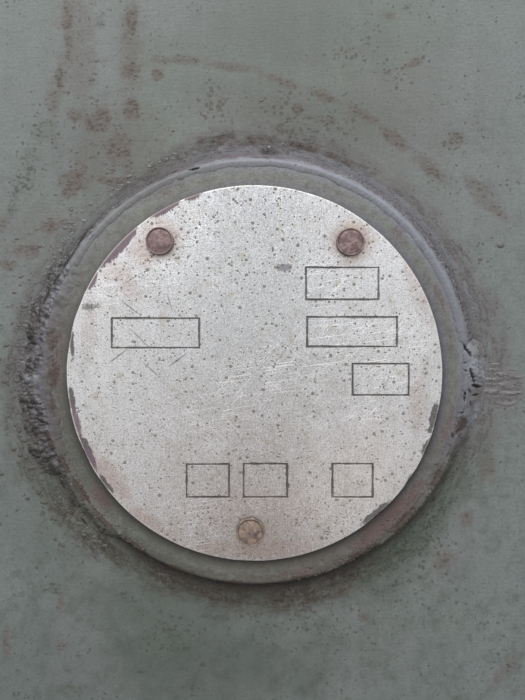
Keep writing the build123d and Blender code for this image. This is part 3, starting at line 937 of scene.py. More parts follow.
# %% Rust on the rivets
def rusted_steel():
    """Hammered steel under thin rust, tan on the lowest head, with a bright rubbed lip and painted shade round
    its foot and inside the lip.
    """
    material, point, parts = new_finish("hammered_rusted_steel")
    grain = add(NOISE, point, Scale=1.1, Detail=5, Roughness=0.72)
    cloud = add(NOISE, point, Scale=0.35, Detail=4)
    is_lowest = add("LESS_THAN", parts["Z"], -20)
    patchy = add(RANGE, cloud, 0.38, 0.62)
    upper = lay(linear("76605f"), [(patchy, "a58f8c")])
    tan = lay(linear("6c6164"), [(patchy, "a8937f")])
    flecks = specks(point, 0.5, cloud, seed=31)
    recess_shade, worn = [add("ShaderNodeAttribute", tree=point.id_data, out="Fac", attribute_name=label)
                    for label in ("recess_shade", "lip")]
    colour = lay(upper, [
        (is_lowest, tan),
        (add(RANGE, grain, 0.5, 0.7, 0, 0.6), "4c3a38"),
        (scaled(flecks, 0.5), "b8aaa2"),
        (recess_shade, "33292a"),
        (worn, "b4a8a2"),
    ])
    metallic = add(RANGE, worn, 0, 1, 0.2, 0.7)
    roughness = add(RANGE, grain, 0.3, 0.7, 0.5, 0.8)
    return finish_surface(material, colour, roughness, scaled(grain, 0.3), metallic)


rivet_finish = rusted_steel()

# %% [markdown]
# A Geometry Nodes tree is a recipe with named inputs. This one pushes each point of a rivet along its normal
# by two sizes of noise. The modifier's inputs are set by the socket's identifier, the result is taken as a
# plain mesh, and the modifier is gone before the piece meets the frame.

# %% Running a tree and keeping its mesh
def geometry_tree(name, numbers):
    """A tree with a geometry input and output, number inputs with their defaults, and a material input."""
    tree = bpy.data.node_groups.new(name, "GeometryNodeTree")
    tree.interface.new_socket("Geometry", in_out="INPUT", socket_type="NodeSocketGeometry")
    for label, default in numbers.items():
        number = tree.interface.new_socket(label, in_out="INPUT", socket_type="NodeSocketFloat")
        number.default_value = default
    tree.interface.new_socket("Finish", in_out="INPUT", socket_type="NodeSocketMaterial")
    tree.interface.new_socket("Geometry", in_out="OUTPUT", socket_type="NodeSocketGeometry")
    return tree, tree.nodes.new("NodeGroupInput").outputs


def finish_tree(geometry, material):
    """Ends the tree that this geometry is in: real geometry, smooth shading and one material."""
    tree = geometry.id_data
    smooth = add("GeometryNodeSetShadeSmooth", add("GeometryNodeRealizeInstances", geometry))
    finished = add("GeometryNodeSetMaterial", smooth, Material=material)
    tree.links.new(finished, tree.nodes.new("NodeGroupOutput").inputs[0])
    return tree


def grow(piece, tree, values):
    """Runs the tree on the piece with these input values, and keeps the result as the piece's own mesh."""
    modifier = piece.modifiers.new("grow", "NODES")
    modifier.node_group = tree
    for item in tree.interface.items_tree:
        if item.item_type == "SOCKET" and item.in_out == "INPUT" and item.name in values:
            modifier[item.identifier] = values[item.name]
    keep_result(piece)

# %% The hammered rivets
def battered_tree():
    """Pushes points along their normals by noise: broad flats from the hammer, and fine pits from rust."""
    tree, given = geometry_tree("battered_head", {
        "Flat size": 3 * MM,
        "Flat depth": 0.1 * MM,
        "Pit size": 0.7 * MM,
        "Pit depth": 0.04 * MM,
        "Seed": 0,
    })
    position = add("GeometryNodeInputPosition", tree=tree)
    normal = add("GeometryNodeInputNormal", tree=tree)
    pushes = []
    for size, depth in (("Flat size", "Flat depth"), ("Pit size", "Pit depth")):
        scale = add("DIVIDE", 1, given[size])
        field = add(NOISE, position, W=given["Seed"], Scale=scale, Detail=2, noise_dimensions="4D")
        pushes.append(add("MULTIPLY", add("SUBTRACT", field, 0.5), add("MULTIPLY", given[depth], 4)))
    offset = add(VECTOR, normal, Scale=add("ADD", *pushes), operation="SCALE")
    moved = add("GeometryNodeSetPosition", given["Geometry"], Offset=offset)
    return finish_tree(moved, given["Finish"])


# Columns: CAD node, seed, depth of the hammer's flats and height of the lip in mm, shine of the lip
RIVETS = [
    ("rivet_top_left", 3.0, 0.10, 0.55, 0.9),
    ("rivet_top_right", 8.0, 0.16, 0.30, 0.4),
    ("rivet_bottom", 15.0, 0.30, 0.30, 0.5),
]


def make_rivet(node_name, seed, flat_depth, lip, shine, tree):
    """One rivet, turned in place of its CAD node and battered by the tree."""
    x, z = rivet_centre(node_name)
    low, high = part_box(node_name)
    head = (high.x - low.x) / 2 / MM
    seat = (wall_front - plate_front) / MM
    top = (wall_front - low.y) / MM - 0.45
    outline = [(TAIL_RADIUS, 0), (SHANK_RADIUS, TAIL_RADIUS - SHANK_RADIUS), (SHANK_RADIUS, seat - 0.05)]
    outline += [(head - 0.5, seat - 0.02), (head - 0.15, seat + 0.15), (head, seat + 0.5)]
    outline += [(head - 0.02, seat + 0.9), (head - 0.12, seat + 1.2)]
    outline += [(head - 0.25, top - 0.4 + lip * 0.6), (head - 0.4, top - 0.35 + lip)]
    outline += [(head - 0.6, top - 0.4 + lip * 0.6), (head - 0.85, top - 0.5)]
    outline += [(head * share, top - 0.5 * share**2) for share in (0.78, 0.68, 0.56, 0.44, 0.32, 0.2, 0.08)]
    piece = turned(node_name + "_hammered", outline, x, z, wall_front, RIVET_STEPS)
    rubbed = piece.data.attributes.new("lip", "FLOAT", "POINT")
    sunk = piece.data.attributes.new("recess_shade", "FLOAT", "POINT")
    for vertex in piece.data.vertices:
        reach = math.hypot(vertex.co.x - x, vertex.co.z - z) / MM
        turn = math.atan2(vertex.co.z - z, vertex.co.x - x)
        on_top = vertex.co.y < plate_front - 0.9 * MM
        around = 0.75 + 0.5 * noise.noise(Vector((math.cos(turn) * 2, math.sin(turn) * 2, seed)))
        bright = max(0.0, 1 - abs(reach - head + 0.4) / 0.28) * shine * around
        # Painted shade: a dark ring in the groove inside the lip, and everything below the head's top darker
        dark = max(0.0, 1 - abs(reach - head + 0.9) / 0.35) * 0.75
        rubbed.data[vertex.index].value = bright if on_top else 0.0
        sunk.data[vertex.index].value = dark if on_top else 0.6
    grow(piece, tree, {"Flat depth": flat_depth * MM, "Seed": seed, "Finish": rivet_finish})
    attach(piece, "root")
    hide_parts(node_name)
    return piece


head_tree = battered_tree()
for row in RIVETS:
    made_rivet = make_rivet(*row, head_tree)
    print(made_rivet.name, len(made_rivet.data.polygons), "faces")

# %% [markdown]
# The weld is the roughest part. A hand-held rod laid it down drop by drop, so the bead is a chain of
# overlapping ripples, each a shallow crescent that lags at its edges. Its width wanders, it is lumpy where
# the welder paused, and thick paint later softened it. A path and a rule describe all that, so Geometry Nodes
# build it: a plain cylinder is bent round the pad, its section becomes a rounded slope from pad to wall, and
# ripples and noise push it out.

# %% Paint over the weld
WELD_GRIME = [
    (-180, 0.55), (-150, 0.6), (-130, 0.5), (-56, 0.8), (-25, 0.6), (0, 0.25), (30, 0.08), (90, 0.1),
    (106, 0.3), (125, 0.2), (150, 0.3), (165, 0.5), (180, 0.55),
]


def smeared_weld_paint():
    """Paint over the bead: lavender on smooth runs, sooty and rusty on rough ones, black in the cracks, a
    painted highlight on raised parts and painted shade in low places.
    """
    material, point, parts = new_finish("paint_smeared_weld")
    radius, degrees, streak = round_the_pad(point)
    grime = ramp(degrees, WELD_GRIME)
    grain = add(NOISE, point, Scale=0.9, Detail=4, Roughness=0.7)
    mottle = add(NOISE, point, Scale=0.3, Detail=5, Roughness=0.65)
    drawn = add(NOISE, streak, Scale=1, Detail=4, Roughness=0.65)
    texture = add("ADD", grain, mottle)
    relief_here, across = [add("ShaderNodeAttribute", tree=point.id_data, out="Fac", attribute_name=label)
                           for label in ("relief", "across")]
    # Raised parts of the bead get a painted highlight, and its low places and torn dents a painted shade with
    # dirt
    hollow_shade_and_dirt = add(RANGE, relief_here, -0.25, -0.8, 0, 0.85)
    crest = add(RANGE, relief_here, 0.15, 0.7, 0, 0.5)
    brown = broken_up(grime, texture, 0.55)
    soot = scaled(specks(point, 0.9, grime, softness=0.1, seed=41), grime)

    # Across the bead, from below 0 on the pad to 1 at the toe, the pad's paint gives way to the weld's and
    # then the wall's, in tongues. Spatter far from the weld has taken the wall's dirt
    across = add("MULTIPLY_ADD", mottle, 0.5, add("MULTIPLY_ADD", drawn, 0.7, across))
    inner = add(RANGE, across, 0.85, 0.3, 0, 0.8)
    outer = add("MAXIMUM", add(RANGE, across, 1, 1.55, 0, 0.9), add(RANGE, radius, 101, 107, 0, 0.85))
    smooth = stain_field(point, SMOOTH_SPOTS, 0.4, 3)

    # Dirt cracks the paint in a broken line along the toe, and the paint is darker in a thin line along the
    # lap's edge
    toe_zone = scaled(add(RANGE, across, 1.15, 1.4), ramp(degrees, TOE_DIRT))
    at_toe = scaled(specks(point, 0.8, toe_zone, share=0.05, softness=0.06, seed=42), toe_zone)
    glints = scaled(specks(point, 0.8, toe_zone, share=0, softness=0.06, seed=43), toe_zone)
    off_line = add("ABSOLUTE", add("SUBTRACT", across, 1.36))
    toe_line = scaled(toe_zone, add(RANGE, off_line, 0.06, 0.02))
    on_pad = add(RANGE, radius, pad_radius / MM - 0.6, pad_radius / MM - 1.4)
    feather = add("MULTIPLY_ADD", mottle, 0.2, parts["Y"])
    at_lap = add(RANGE, feather, pad_front / MM - 0.02, pad_front / MM + 0.08, 0, 0.5)
    at_lap = scaled(scaled(at_lap, on_pad), add(RANGE, mottle, 0.4, 0.6))
    cracks = stain_field(point, RUSTY_CRACKS, 0.4, 2.5)
    gaps = stain_field(point, TOE_GAPS, 0.45, 2)
    colour = lay(ramp(degrees, WELD_PAINT), [
        (add(RANGE, drawn, 0.5, 0.72, 0, 0.35), "6f6e70"),
        (add(RANGE, drawn, 0.48, 0.3, 0, 0.3), "a0a4ac"),
        (inner, ramp(degrees, PAD_PAINT)),
        (outer, ramp(degrees, BELT_COLOUR)),
        (smooth, "989ba1"),
        (add(RANGE, grain, 0.5, 0.75, 0, 0.35), "63605e"),
        (brown, "574d48"),
        (crest, "94959a"),
        (scaled(soot, 0.7), "37332f"),
        (at_lap, "514d4c"),
        (hollow_shade_and_dirt, "2f2b28"),
        (scaled(toe_line, 0.8), "332e2b"),
        (scaled(at_toe, 0.9), "2c2724"),
        (scaled(glints, 0.6), "a3a5ab"),
        (scaled(broken_up(cracks, texture, 1), 0.85), "483b32"),
        (scaled(gaps, 0.9), "262320"),
    ])
    relief = built_up((grain, 0.15), [(drawn, 0.15), (soot, -0.2), (at_toe, -0.3)])
    return finish_surface(material, colour, add(RANGE, grime, 0, 1, 0.5, 0.85), relief)


weld_finish = smeared_weld_paint()

# %% The tree that lays a bead
CROWN = 6.25               # height of the bead in mm


def bead_tree():
    """Bends a unit cylinder into one run of weld round the pad, with ripples, lumps and tapered ends."""
    tree, given = geometry_tree("hand_laid_bead", {
        "Pad radius": pad_radius, "Wall front": wall_front, "Start angle": 0, "End angle": 1,
        "Leg at start": 5 * MM, "Leg at end": 5 * MM, "Crown": CROWN * MM, "Lap": 4 * MM, "Buried": 0.5 * MM,
        "Wander": 0.12, "Ripple pitch": 3 * MM, "Ripple depth": 0.3 * MM, "Lump size": 6 * MM,
        "Lump height": 0.4 * MM, "Grit size": 1.2 * MM, "Grit height": 0.1 * MM, "Grit stretch": 1,
        "Grit start": 0.05, "Taper": 9 * MM, "Seed": 0,
    })
    position = add("GeometryNodeInputPosition", tree=tree)
    unit = add(SPLIT, position).node
    across, up = unit.outputs["X"], unit.outputs["Y"]
    share = add("ADD", unit.outputs["Z"], 0.5)

    # Where along the pad's rim this point lies, and how far it is from the nearer end of the run
    angle = add(RANGE, share, 0, 1, given["Start angle"], given["End angle"])
    sweep = add("SUBTRACT", given["End angle"], given["Start angle"])
    length = add("MULTIPLY", sweep, given["Pad radius"])
    along = add("MULTIPLY", share, length)
    left_over = add("SUBTRACT", length, along)
    from_end = add("MINIMUM", along, left_over)
    taper = add("DIVIDE", from_end, given["Taper"], use_clamp=True)
    flat = add("SUBTRACT", 1, taper)
    fullness = add("SQRT", add("SUBTRACT", 1.01, add("MULTIPLY", flat, flat)))

    # Section: rounded over the pad's edge, then a slope that thins to nothing on the wall, of wandering width
    path = add(JOIN, along, given["Seed"])
    leg = add(RANGE, share, 0, 1, given["Leg at start"], given["Leg at end"])
    wander = add(NOISE, path, Scale=1 / (9 * MM), Detail=3)
    narrowest, widest = [add(step, 1, given["Wander"]) for step in ("SUBTRACT", "ADD")]
    widen = add(RANGE, wander, 0.25, 0.75, narrowest, widest)
    leg = add("MULTIPLY", leg, widen)
    lap = add("MULTIPLY", given["Lap"], widen)
    outward = add("MAXIMUM", across, 0)
    reach = add("MULTIPLY", add("MULTIPLY", outward, outward), leg)
    reach = add("MULTIPLY_ADD", add("MINIMUM", across, 0), lap, reach)
    upward = add("MAXIMUM", up, 0)
    bent_up = add("POWER", upward, add("MULTIPLY_ADD", outward, 1.1, 1.2))
    is_outer = add("GREATER_THAN", across, 0)
    upward = add(MIX, sockets={0: is_outer, 2: upward, 3: bent_up})
    rise = add("MULTIPLY", add("MULTIPLY", upward, given["Crown"]), fullness)
    rise = add("MULTIPLY_ADD", add("MINIMUM", up, 0), given["Buried"], rise)
    radius = add("MULTIPLY_ADD", reach, fullness, given["Pad radius"])
    x, z = [add("MULTIPLY", radius, add(part, angle)) for part in ("COSINE", "SINE")]
    place = add(JOIN, x, add("SUBTRACT", given["Wall front"], rise), z)

    # Ripples: crescents that lag towards both toes, with the rod's uneven pace
    side = add("SUBTRACT", up, across)
    lag = add("MULTIPLY", side, side)
    pace = add(NOISE, path, Scale=1 / (9 * MM), Detail=2)
    count = add("DIVIDE", along, given["Ripple pitch"])
    phase = add("MULTIPLY_ADD", pace, 3, count)
    phase = add("MULTIPLY_ADD", lag, -0.45, phase)
    wave = add("ABSOLUTE", add("SINE", add("MULTIPLY", phase, math.pi)))
    crest = add("SUBTRACT", add("POWER", wave, 0.6), 0.7)
    ripple = add("MULTIPLY", crest, given["Ripple depth"])

    # Broad lumps everywhere, and clods of grit on the outer part of the slope
    lump_scale = add("DIVIDE", 1, given["Lump size"])
    lumps = add(NOISE, place, W=given["Seed"], Scale=lump_scale, Detail=3, noise_dimensions="4D")
    lumps = add(RANGE, lumps, 0.25, 0.75, -1, clamp=False)
    push = add("MULTIPLY_ADD", lumps, given["Lump height"], ripple)
    squeezed = add(VECTOR, place, add(JOIN, given["Grit stretch"], 0.3, 1), operation="MULTIPLY")
    grit_scale = add("DIVIDE", 1, given["Grit size"])
    clods = add(NOISE, squeezed, W=given["Seed"], Scale=grit_scale, Detail=2.5, noise_dimensions="4D")
    clods = add(RANGE, clods, 0.46, 0.64, -0.55, **SMOOTH)
    grit_full = add("ADD", given["Grit start"], 0.35)
    outside = add(RANGE, across, given["Grit start"], grit_full, 0.12)
    clods = add("MULTIPLY", clods, outside)
    crowds = add(NOISE, place, Scale=1 / (7 * MM), Detail=1)
    crowds = add(RANGE, crowds, 0.38, 0.6, 0.15, 1.2)
    clods = add("MULTIPLY", clods, crowds)
    push = add("MULTIPLY_ADD", clods, given["Grit height"], push)
    push = add("MULTIPLY", add("MULTIPLY", push, add(RANGE, up, 0, 0.12)), fullness)

    # What the paint reads: the relief in mm, and how far across the bead the point lies
    relief = add("MULTIPLY", push, 1 / MM)
    kept = given["Geometry"]
    for label, value in (("relief", relief), ("across", across), ("push", push)):
        kept = add("GeometryNodeStoreNamedAttribute", kept, Name=label, Value=value)
    bent = add("GeometryNodeSetPosition", kept, Position=place)
    normal = add("GeometryNodeInputNormal", tree=tree)
    stored = add("GeometryNodeInputNamedAttribute", Name="push", tree=tree)
    offset = add(VECTOR, normal, Scale=stored, operation="SCALE")
    rough = add("GeometryNodeSetPosition", bent, Offset=offset)
    return finish_tree(rough, given["Finish"])

# %% The six runs
# Columns: CAD node, start and end in degrees, leg at start and end, lap that shows on the pad, wander of the
# width, ripple pitch and depth, lump height, grit height, size, stretch and where across the bead it begins,
# in mm
WELD_RUNS = [
    ("weld_lower_right", -58, -20, 2.4, 4.5, 1.2, 0.3, 4.0, 0.04, 0.4, 0.6, 1.2, 0.8, -0.3),
    ("weld_right", -25, 9.5, 6.0, 12.5, 2.4, 0.2, 3.6, 0.06, 0.5, 0.05, 1.5, 0.6, 0.55),
    ("weld_upper_right", 4, 116, 6.0, 4.6, 2.2, 0.12, 2.4, 0.05, 0.15, 0.35, 0.9, 0.9, 0.5),
    ("weld_upper_left", 108, 154, 3.0, 6.0, 1.8, 0.15, 3.4, 0.05, 0.25, 0.28, 1.0, 0.8, 0.4),
    ("weld_left", 146, 208, 8.0, 14.5, 4.0, 0.28, 4.6, 0.06, 0.6, 1.25, 1.8, 0.95, 0.0),
    ("weld_lower_left", 200, 231, 6.5, 5.5, 0.8, 0.25, 4.0, 0.04, 0.4, 0.6, 1.3, 0.8, -0.1),
]
# Torn places and blobs: X, Z, half width, half height, turn in degrees, depth in mm (less than 0 stands up)
TORN_PLACES = [
    (-26.2, 87.4, 3.4, 0.6, 8, 1.6), (91.6, 9.3, 4.2, 0.8, -52, 1.8), (88.6, 6.4, 1.4, 0.7, -70, 1),
    (90, 4, 1.1, 0.6, 20, 1), (88.2, 2.4, 1.6, 0.5, 80, 1), (90.6, 0.8, 1, 0.5, -30, 0.9),
    (94, -1.6, 4, 0.9, -66, 2), (96.6, -6, 3.2, 0.8, -12, 2), (90, -10.5, 3.4, 0.55, -84, 1.5),
    (92.6, -8, 1.6, 0.5, -50, 1.2), (96, -9.8, 2.2, 0.5, 4, 1.2), (93.4, -13.4, 1.6, 0.5, -70, 1),
    (101.5, -12.4, 4, 0.5, -6, 0.7), (88.4, -22.5, 4.2, 4, 0, 0.8), (87.4, -17.6, 3.2, 0.5, 10, 1.3),
    (86.4, -25.6, 1.8, 0.8, 60, 1.6), (95.5, 0.5, 4.6, 5.6, 0, -0.8), (-97, -2.5, 4, 2.4, 10, -0.9),
    (-86.5, 6, 3, 0.7, 30, 0.8), (-88, -13, 0.6, 5, 8, 1.2), (-92, -21, 3, 0.6, -20, 1.2),
]
TORN_REACH = 7             # no torn place reaches further from its middle, in mm
BEAD_STEP = 0.3            # length of a face along the bead, in mm
SHOWN_FACES, HIDDEN_FACES = 46, 8     # across the bead, above the wall and in it


def unit_cylinder(name, along):
    """Closed cylinder of radius 1 and height 1 about Z, finer where the bead shows."""
    shown = [-4 + 188 * step / SHOWN_FACES for step in range(SHOWN_FACES + 1)]
    hidden = [184 + 172 * step / HIDDEN_FACES for step in range(1, HIDDEN_FACES)]
    turns = [math.radians(turn) for turn in shown + hidden]
    work = bmesh.new()
    rings = []
    for level in range(along + 1):
        height = level / along - 0.5
        rings.append([work.verts.new((math.cos(turn), math.sin(turn), height)) for turn in turns])
    join_rings(work, rings)
    return linked(name, from_bmesh(name, work))


def tear(bead):
    """Dents the bead at each torn place, and notes it in the relief that the paint reads."""
    relief = bead.data.attributes["relief"].data
    for vertex in bead.data.vertices:
        if vertex.co.y > wall_front - 0.5 * MM:
            continue
        x_here, z_here = vertex.co.x / MM, vertex.co.z / MM
        for x, z, half_width, half_height, turn, depth in TORN_PLACES:
            aside, above = x_here - x, z_here - z
            if abs(aside) > TORN_REACH or abs(above) > TORN_REACH:
                continue
            cosine, sine = math.cos(math.radians(turn)), math.sin(math.radians(turn))
            along = (aside * cosine + above * sine) / half_width
            across = (above * cosine - aside * sine) / half_height
            wobble = 0.5 * noise.noise(Vector((x_here * 0.9, z_here * 0.9, depth)))
            inside = 1 - (along**2 + across**2) + wobble
            if inside > 0:
                steepness = 1.6 if depth > 0 else 0.9
                share = min(1.0, steepness * inside)
                sink = depth * share * share * (3 - 2 * share)
                vertex.co.y = min(vertex.co.y + sink * MM, wall_front - 0.3 * MM)
                relief[vertex.index].value -= sink * (0.6 if depth > 0 else 0.2)


laying = bead_tree()
for seed, row in enumerate(WELD_RUNS):
    node_name, start, end, leg_start, leg_end, lap, wander, pitch, ripple, lump = row[:10]
    grit, grit_size, stretch, grit_start = row[10:]
    lap_share = math.sqrt(1 - (pad_thickness / MM / CROWN) ** 2)
    length = math.radians(end - start) * pad_radius
    bead = unit_cylinder(node_name + "_bead", round(length / (BEAD_STEP * MM)))
    grow(bead, laying, {
        "Start angle": math.radians(start),
        "End angle": math.radians(end),
        "Leg at start": leg_start * MM,
        "Leg at end": leg_end * MM,
        "Lap": lap / lap_share * MM,
        "Wander": wander,
        "Ripple pitch": pitch * MM,
        "Ripple depth": ripple * MM,
        "Lump height": lump * MM,
        "Grit height": grit * MM,
        "Grit size": grit_size * MM,
        "Grit stretch": stretch,
        "Grit start": grit_start,
        "Seed": seed * 3.7,
        "Finish": weld_finish,
    })
    tear(bead)
    work = bmesh.new()
    work.from_mesh(bead.data)
    bmesh.ops.recalc_face_normals(work, faces=work.faces)
    work.to_mesh(bead.data)
    work.free()
    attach(bead, "root")
    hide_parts(node_name)
    print(bead.name, len(bead.data.polygons), "faces")

# %% [markdown]
# Molten steel spits out of a weld and freezes on the wall as beads smaller than a grain of rice. They lie
# thick near the bead and thin out within a few centimetres. Crumbs of slag and rust stick to the pad's edge
# where the weld is poor. The script chooses all their places with fixed seeds and keeps their sizes as an
# attribute, and Geometry Nodes put a flattened ball of a few dozen faces at each.

# %% Weld spatter and crumbs
def spatter_tree():
    """Puts a flattened ball at each point of the input, as large as the point's size attribute says."""
    tree, given = geometry_tree("frozen_spatter", {"Flatness": 0.32})
    ball = add("GeometryNodeMeshIcoSphere", Radius=1, Subdivisions=2, tree=tree)
    size = add("GeometryNodeInputNamedAttribute", Name="size", tree=tree)
    turn = add("FunctionNodeRandomValue", sockets={2: -0.3, 3: 0.3}, tree=tree, out=1)
    stretch = add("FunctionNodeRandomValue", Seed=5, sockets={2: 0.9, 3: 2.2}, tree=tree, out=1)
    scale = add(JOIN, add("MULTIPLY", size, stretch), add("MULTIPLY", size, given["Flatness"]), size)
    placed = add("GeometryNodeInstanceOnPoints", Points=given["Geometry"], Instance=ball,
                 Rotation=add(JOIN, Y=turn), Scale=scale)
    return finish_tree(placed, given["Finish"])


# How far from the plate's axis the drops begin, and how far to the side and up they may lie, in mm
DROPS_FROM, DROPS_ASIDE, DROPS_UP = 96, 122, 150
# Stretches of the pad's edge where crumbs stick, in degrees. They overlap where the crumbs lie thickest
CRUMB_STRETCHES = [(-82, -24), (-70, -34), (200, 238)]


def crumb_points(count, seed):
    """Places and sizes of crumbs of slag and rust that stick to the pad's edge where the weld is poor."""
    chance = random.Random(seed)
    edge = pad_radius / MM
    places = []
    for _ in range(count):
        angle = math.radians(chance.uniform(*chance.choice(CRUMB_STRETCHES)))
        reach = edge - 0.1 - min(6.0, chance.expovariate(1 / 1.3))
        over = max(0.0, reach - edge + EDGE_ROUND)
        front = pad_front + (EDGE_ROUND - math.sqrt(EDGE_ROUND**2 - over**2)) * MM
        size = chance.uniform(0.16, 0.34) + 0.35 * chance.random() ** 3
        places.append((reach * math.cos(angle), reach * math.sin(angle), size, front))
    return places


def spatter_points(count, seed):
    """Places and sizes of the beads, thickest near the weld and on the left, where the rod sputtered."""
    chance = random.Random(seed)
    places = []
    while len(places) < count:
        angle = chance.uniform(-60, 230)
        share = 0.5 + 0.5 * math.cos(math.radians(angle - 180))
        if chance.random() > share**3 - 0.02:
            continue
        reach = DROPS_FROM + 5 * share + chance.expovariate(1 / 5.0)
        x = reach * math.cos(math.radians(angle))
        z = reach * math.sin(math.radians(angle))
        size = chance.uniform(0.2, 0.4) + (0.2 + 0.5 * share**3) * chance.random() ** 2
        if abs(x) < DROPS_ASIDE and abs(z) < DROPS_UP:
            places.append((x, z, size, wall_front))
    return places


# A few larger drops: X, Z and size
CHIPS = [(108, 56, 1.5), (99, 50, 1.1), (89, -36, 0.8), (-100, 12, 1.4), (-95, -28, 1.2)]
drops = spatter_points(count=300, seed=7) + crumb_points(count=420, seed=4)
drops += [(*chip, wall_front) for chip in CHIPS]
drop_mesh = bpy.data.meshes.new("weld_spatter")
drop_mesh.from_pydata([(x * MM, front, z * MM) for x, z, size, front in drops], [], [])
drop_sizes = drop_mesh.attributes.new("size", "FLOAT", "POINT")
for index, drop in enumerate(drops):
    drop_sizes.data[index].value = drop[2] * MM
spatter = linked("weld_spatter", drop_mesh)
grow(spatter, spatter_tree(), {"Finish": weld_finish})
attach(spatter, "root")
print("spatter has", len(spatter.data.polygons), "faces")

# %% [markdown]
# At the right the welder's glove or a scraper dragged soft paint over the wall, and it dried in long flat
# folds. That is one thin sheet: a grid whose height is noise that is stretched along X, sunk into the wall
# where it is low, so its outline comes out ragged.

# %% Dragged paint on the wall
SKIN_LEFT, SKIN_RIGHT, SKIN_LOW, SKIN_HIGH = 96.0, 120.0, -18.0, 5.0
SKIN_COLUMNS, SKIN_ROWS = 96, 115
# Middle and half size of the sheet that shows, how deep its low parts sink into the wall, and how deep it is
# closed
SKIN_X, SKIN_Z, SKIN_HALF_WIDTH, SKIN_HALF_HEIGHT = 109, -6.5, 11, 10.5
SKIN_SUNK, SKIN_BACK = -0.2, 0.6


def dragged_paint():
    """Thin folded sheet on the wall, closed behind the wall's face."""
    places, reliefs = [], []
    for row in range(SKIN_ROWS + 1):
        z = SKIN_LOW + (SKIN_HIGH - SKIN_LOW) * row / SKIN_ROWS
        for column in range(SKIN_COLUMNS + 1):
            x = SKIN_LEFT + (SKIN_RIGHT - SKIN_LEFT) * column / SKIN_COLUMNS
            fade = 1 - ((x - SKIN_X) / SKIN_HALF_WIDTH) ** 2 - ((z - SKIN_Z) / SKIN_HALF_HEIGHT) ** 2
            bend = z + 1.2 * noise.noise(Vector((x * 0.12, z * 0.1, 1.0)))
            fold = noise.noise(Vector((x * 0.13, bend * 0.62, 3.0)))
            fine = noise.noise(Vector((x * 0.4, bend * 1.7, 9.0)))
            height = max(SKIN_SUNK, 0.5 * min(fade, 0.8) + 0.48 * fold + 0.14 * fine - 0.22)
            if row in (0, SKIN_ROWS) or column in (0, SKIN_COLUMNS):
                height = SKIN_SUNK
            places.append((x * MM, wall_front - height * MM, z * MM))
            reliefs.append(1.1 * fold + 0.5 * fine)
    wide = SKIN_COLUMNS + 1
    faces = []
    for row in range(SKIN_ROWS):
        for column in range(SKIN_COLUMNS):
            first = row * wide + column
            faces.append((first, first + 1, first + wide + 1, first + wide))
    last = SKIN_ROWS * wide
    behind = len(places)
    for index in (0, SKIN_COLUMNS, last + SKIN_COLUMNS, last):
        places.append((places[index][0], wall_front + SKIN_BACK * MM, places[index][2]))
    faces.append([*range(0, wide), behind + 1, behind])
    faces.append([*range(last, last + wide), behind + 2, behind + 3])
    faces.append([*range(0, last + 1, wide), behind + 3, behind])
    faces.append([*range(SKIN_COLUMNS, last + wide, wide), behind + 2, behind + 1])
    faces.append([behind, behind + 1, behind + 2, behind + 3])
    mesh = bpy.data.meshes.new("dragged_paint")
    mesh.from_pydata(places, [], faces)
    work = bmesh.new()
    work.from_mesh(mesh)
    skin = linked("dragged_paint", from_bmesh("dragged_paint", work))
    relief = skin.data.attributes.new("relief", "FLOAT", "POINT")
    across = skin.data.attributes.new("across", "FLOAT", "POINT")
    for index, value in enumerate(reliefs + [0.0] * 4):
        relief.data[index].value = value
        across.data[index].value = 0.9
    skin.data.shade_smooth()
    coat(skin, weld_finish)
    return skin


skin = dragged_paint()
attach(skin, "root")
print("dragged paint has", len(skin.data.polygons), "faces")

# %% [markdown]
# The camera stands where the photographer stood: square on, close, a little above and to the right of the
# plate's centre. The photograph shows 297 mm of the plate's plane over its height, and a phone's lens is
# about 28 mm on a 36 mm frame, which fixes the distance.

# %% Camera
PHOTO_WIDTH, PHOTO_HEIGHT = 525, 700
CENTRE_ACROSS, CENTRE_DOWN = 254.5, 373.0     # the plate's centre in the photograph, in pixels
PIXEL = 0.4247 * MM
camera_data = bpy.data.cameras.new("camera")
camera_data.sensor_width = 36
camera_data.lens = 28
distance = PHOTO_HEIGHT * PIXEL * camera_data.lens / camera_data.sensor_width
camera = linked("camera", camera_data)
camera_x = (PHOTO_WIDTH / 2 - CENTRE_ACROSS) * PIXEL
camera_z = (CENTRE_DOWN - PHOTO_HEIGHT / 2) * PIXEL
camera.location = (camera_x, plate_front - distance, camera_z)
camera.rotation_euler = (math.radians(90), 0, 0)
camera_data.clip_start = 0.01
bpy.context.scene.camera = camera
print("camera stands", round(distance / MM), "mm from the plate")

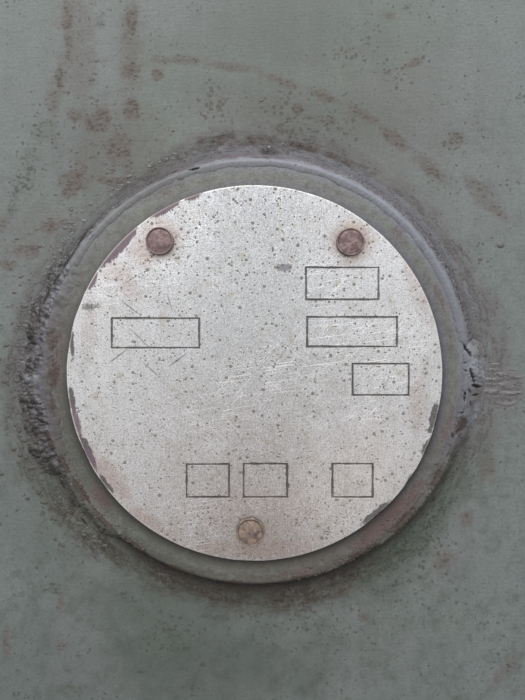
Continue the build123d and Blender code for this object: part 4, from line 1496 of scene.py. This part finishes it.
# %% [markdown]
# The light is a bright overcast sky: a wide soft lamp high above and in front, and an even world. Coming from
# so high, it lights every upper edge and leaves a soft shadow below each step, which is how the eye reads the
# pad's height. The floor lies at the section's lower edge, out of the main view, and is there for the other
# angles.

# %% Floor and light
def soft_lamp(name, place, aim, size, power):
    """Square area lamp at a place, turned towards a point."""
    data = bpy.data.lights.new(name, "AREA")
    data.size = size
    data.energy = power
    lamp = linked(name, data)
    lamp.location = place
    lamp.rotation_euler = (Vector(aim) - Vector(place)).to_track_quat("-Z", "Y").to_euler()


def seen_directly(tree):
    """1 for what the camera sees, itself or in metal and glass, and 0 for light that falls on the object."""
    rays = add("ShaderNodeLightPath", tree=tree).node.outputs
    seen = add("MAXIMUM", rays["Is Camera Ray"], rays["Is Glossy Ray"])
    return add("MAXIMUM", seen, rays["Is Transmission Ray"])


soft_lamp("sky_lamp", place=(-0.15, -1.15, 1.4), aim=(0, 0, 0), size=1.5, power=31)
HALF_FLOOR = 3.0
corners = [(x, y, wall_low.z) for x, y in ((-1, -1), (1, -1), (1, 1), (-1, 1))]
floor_mesh = bpy.data.meshes.new("floor")
floor_mesh.from_pydata([(HALF_FLOOR * x, HALF_FLOOR * y, z) for x, y, z in corners], [], [(0, 1, 2, 3)])
floor = linked("floor", floor_mesh)
floor_finish = bpy.data.materials.new("pale_floor")
floor_finish.use_nodes = True
floor_tree = floor_finish.node_tree
floor_shader = floor_tree.nodes["Principled BSDF"]
floor_colour = lay(linear("7a7977"), [(seen_directly(floor_tree), "d9d8d5")])
floor_tree.links.new(floor_colour, floor_shader.inputs["Base Color"])
floor_shader.inputs["Roughness"].default_value = 0.9
coat(floor, floor_finish)

world = bpy.data.worlds.new("overcast")
world.use_nodes = True
world_tree = world.node_tree
world_tree.nodes.clear()
strength = add(RANGE, seen_directly(world_tree), 0, 1, 0.42, 0.9)
sky = add("ShaderNodeBackground", Color=linear("f4f6fa"), Strength=strength)
world_tree.links.new(sky, world_tree.nodes.new("ShaderNodeOutputWorld").inputs["Surface"])
bpy.context.scene.world = world
bpy.context.scene.view_settings.view_transform = "Standard"
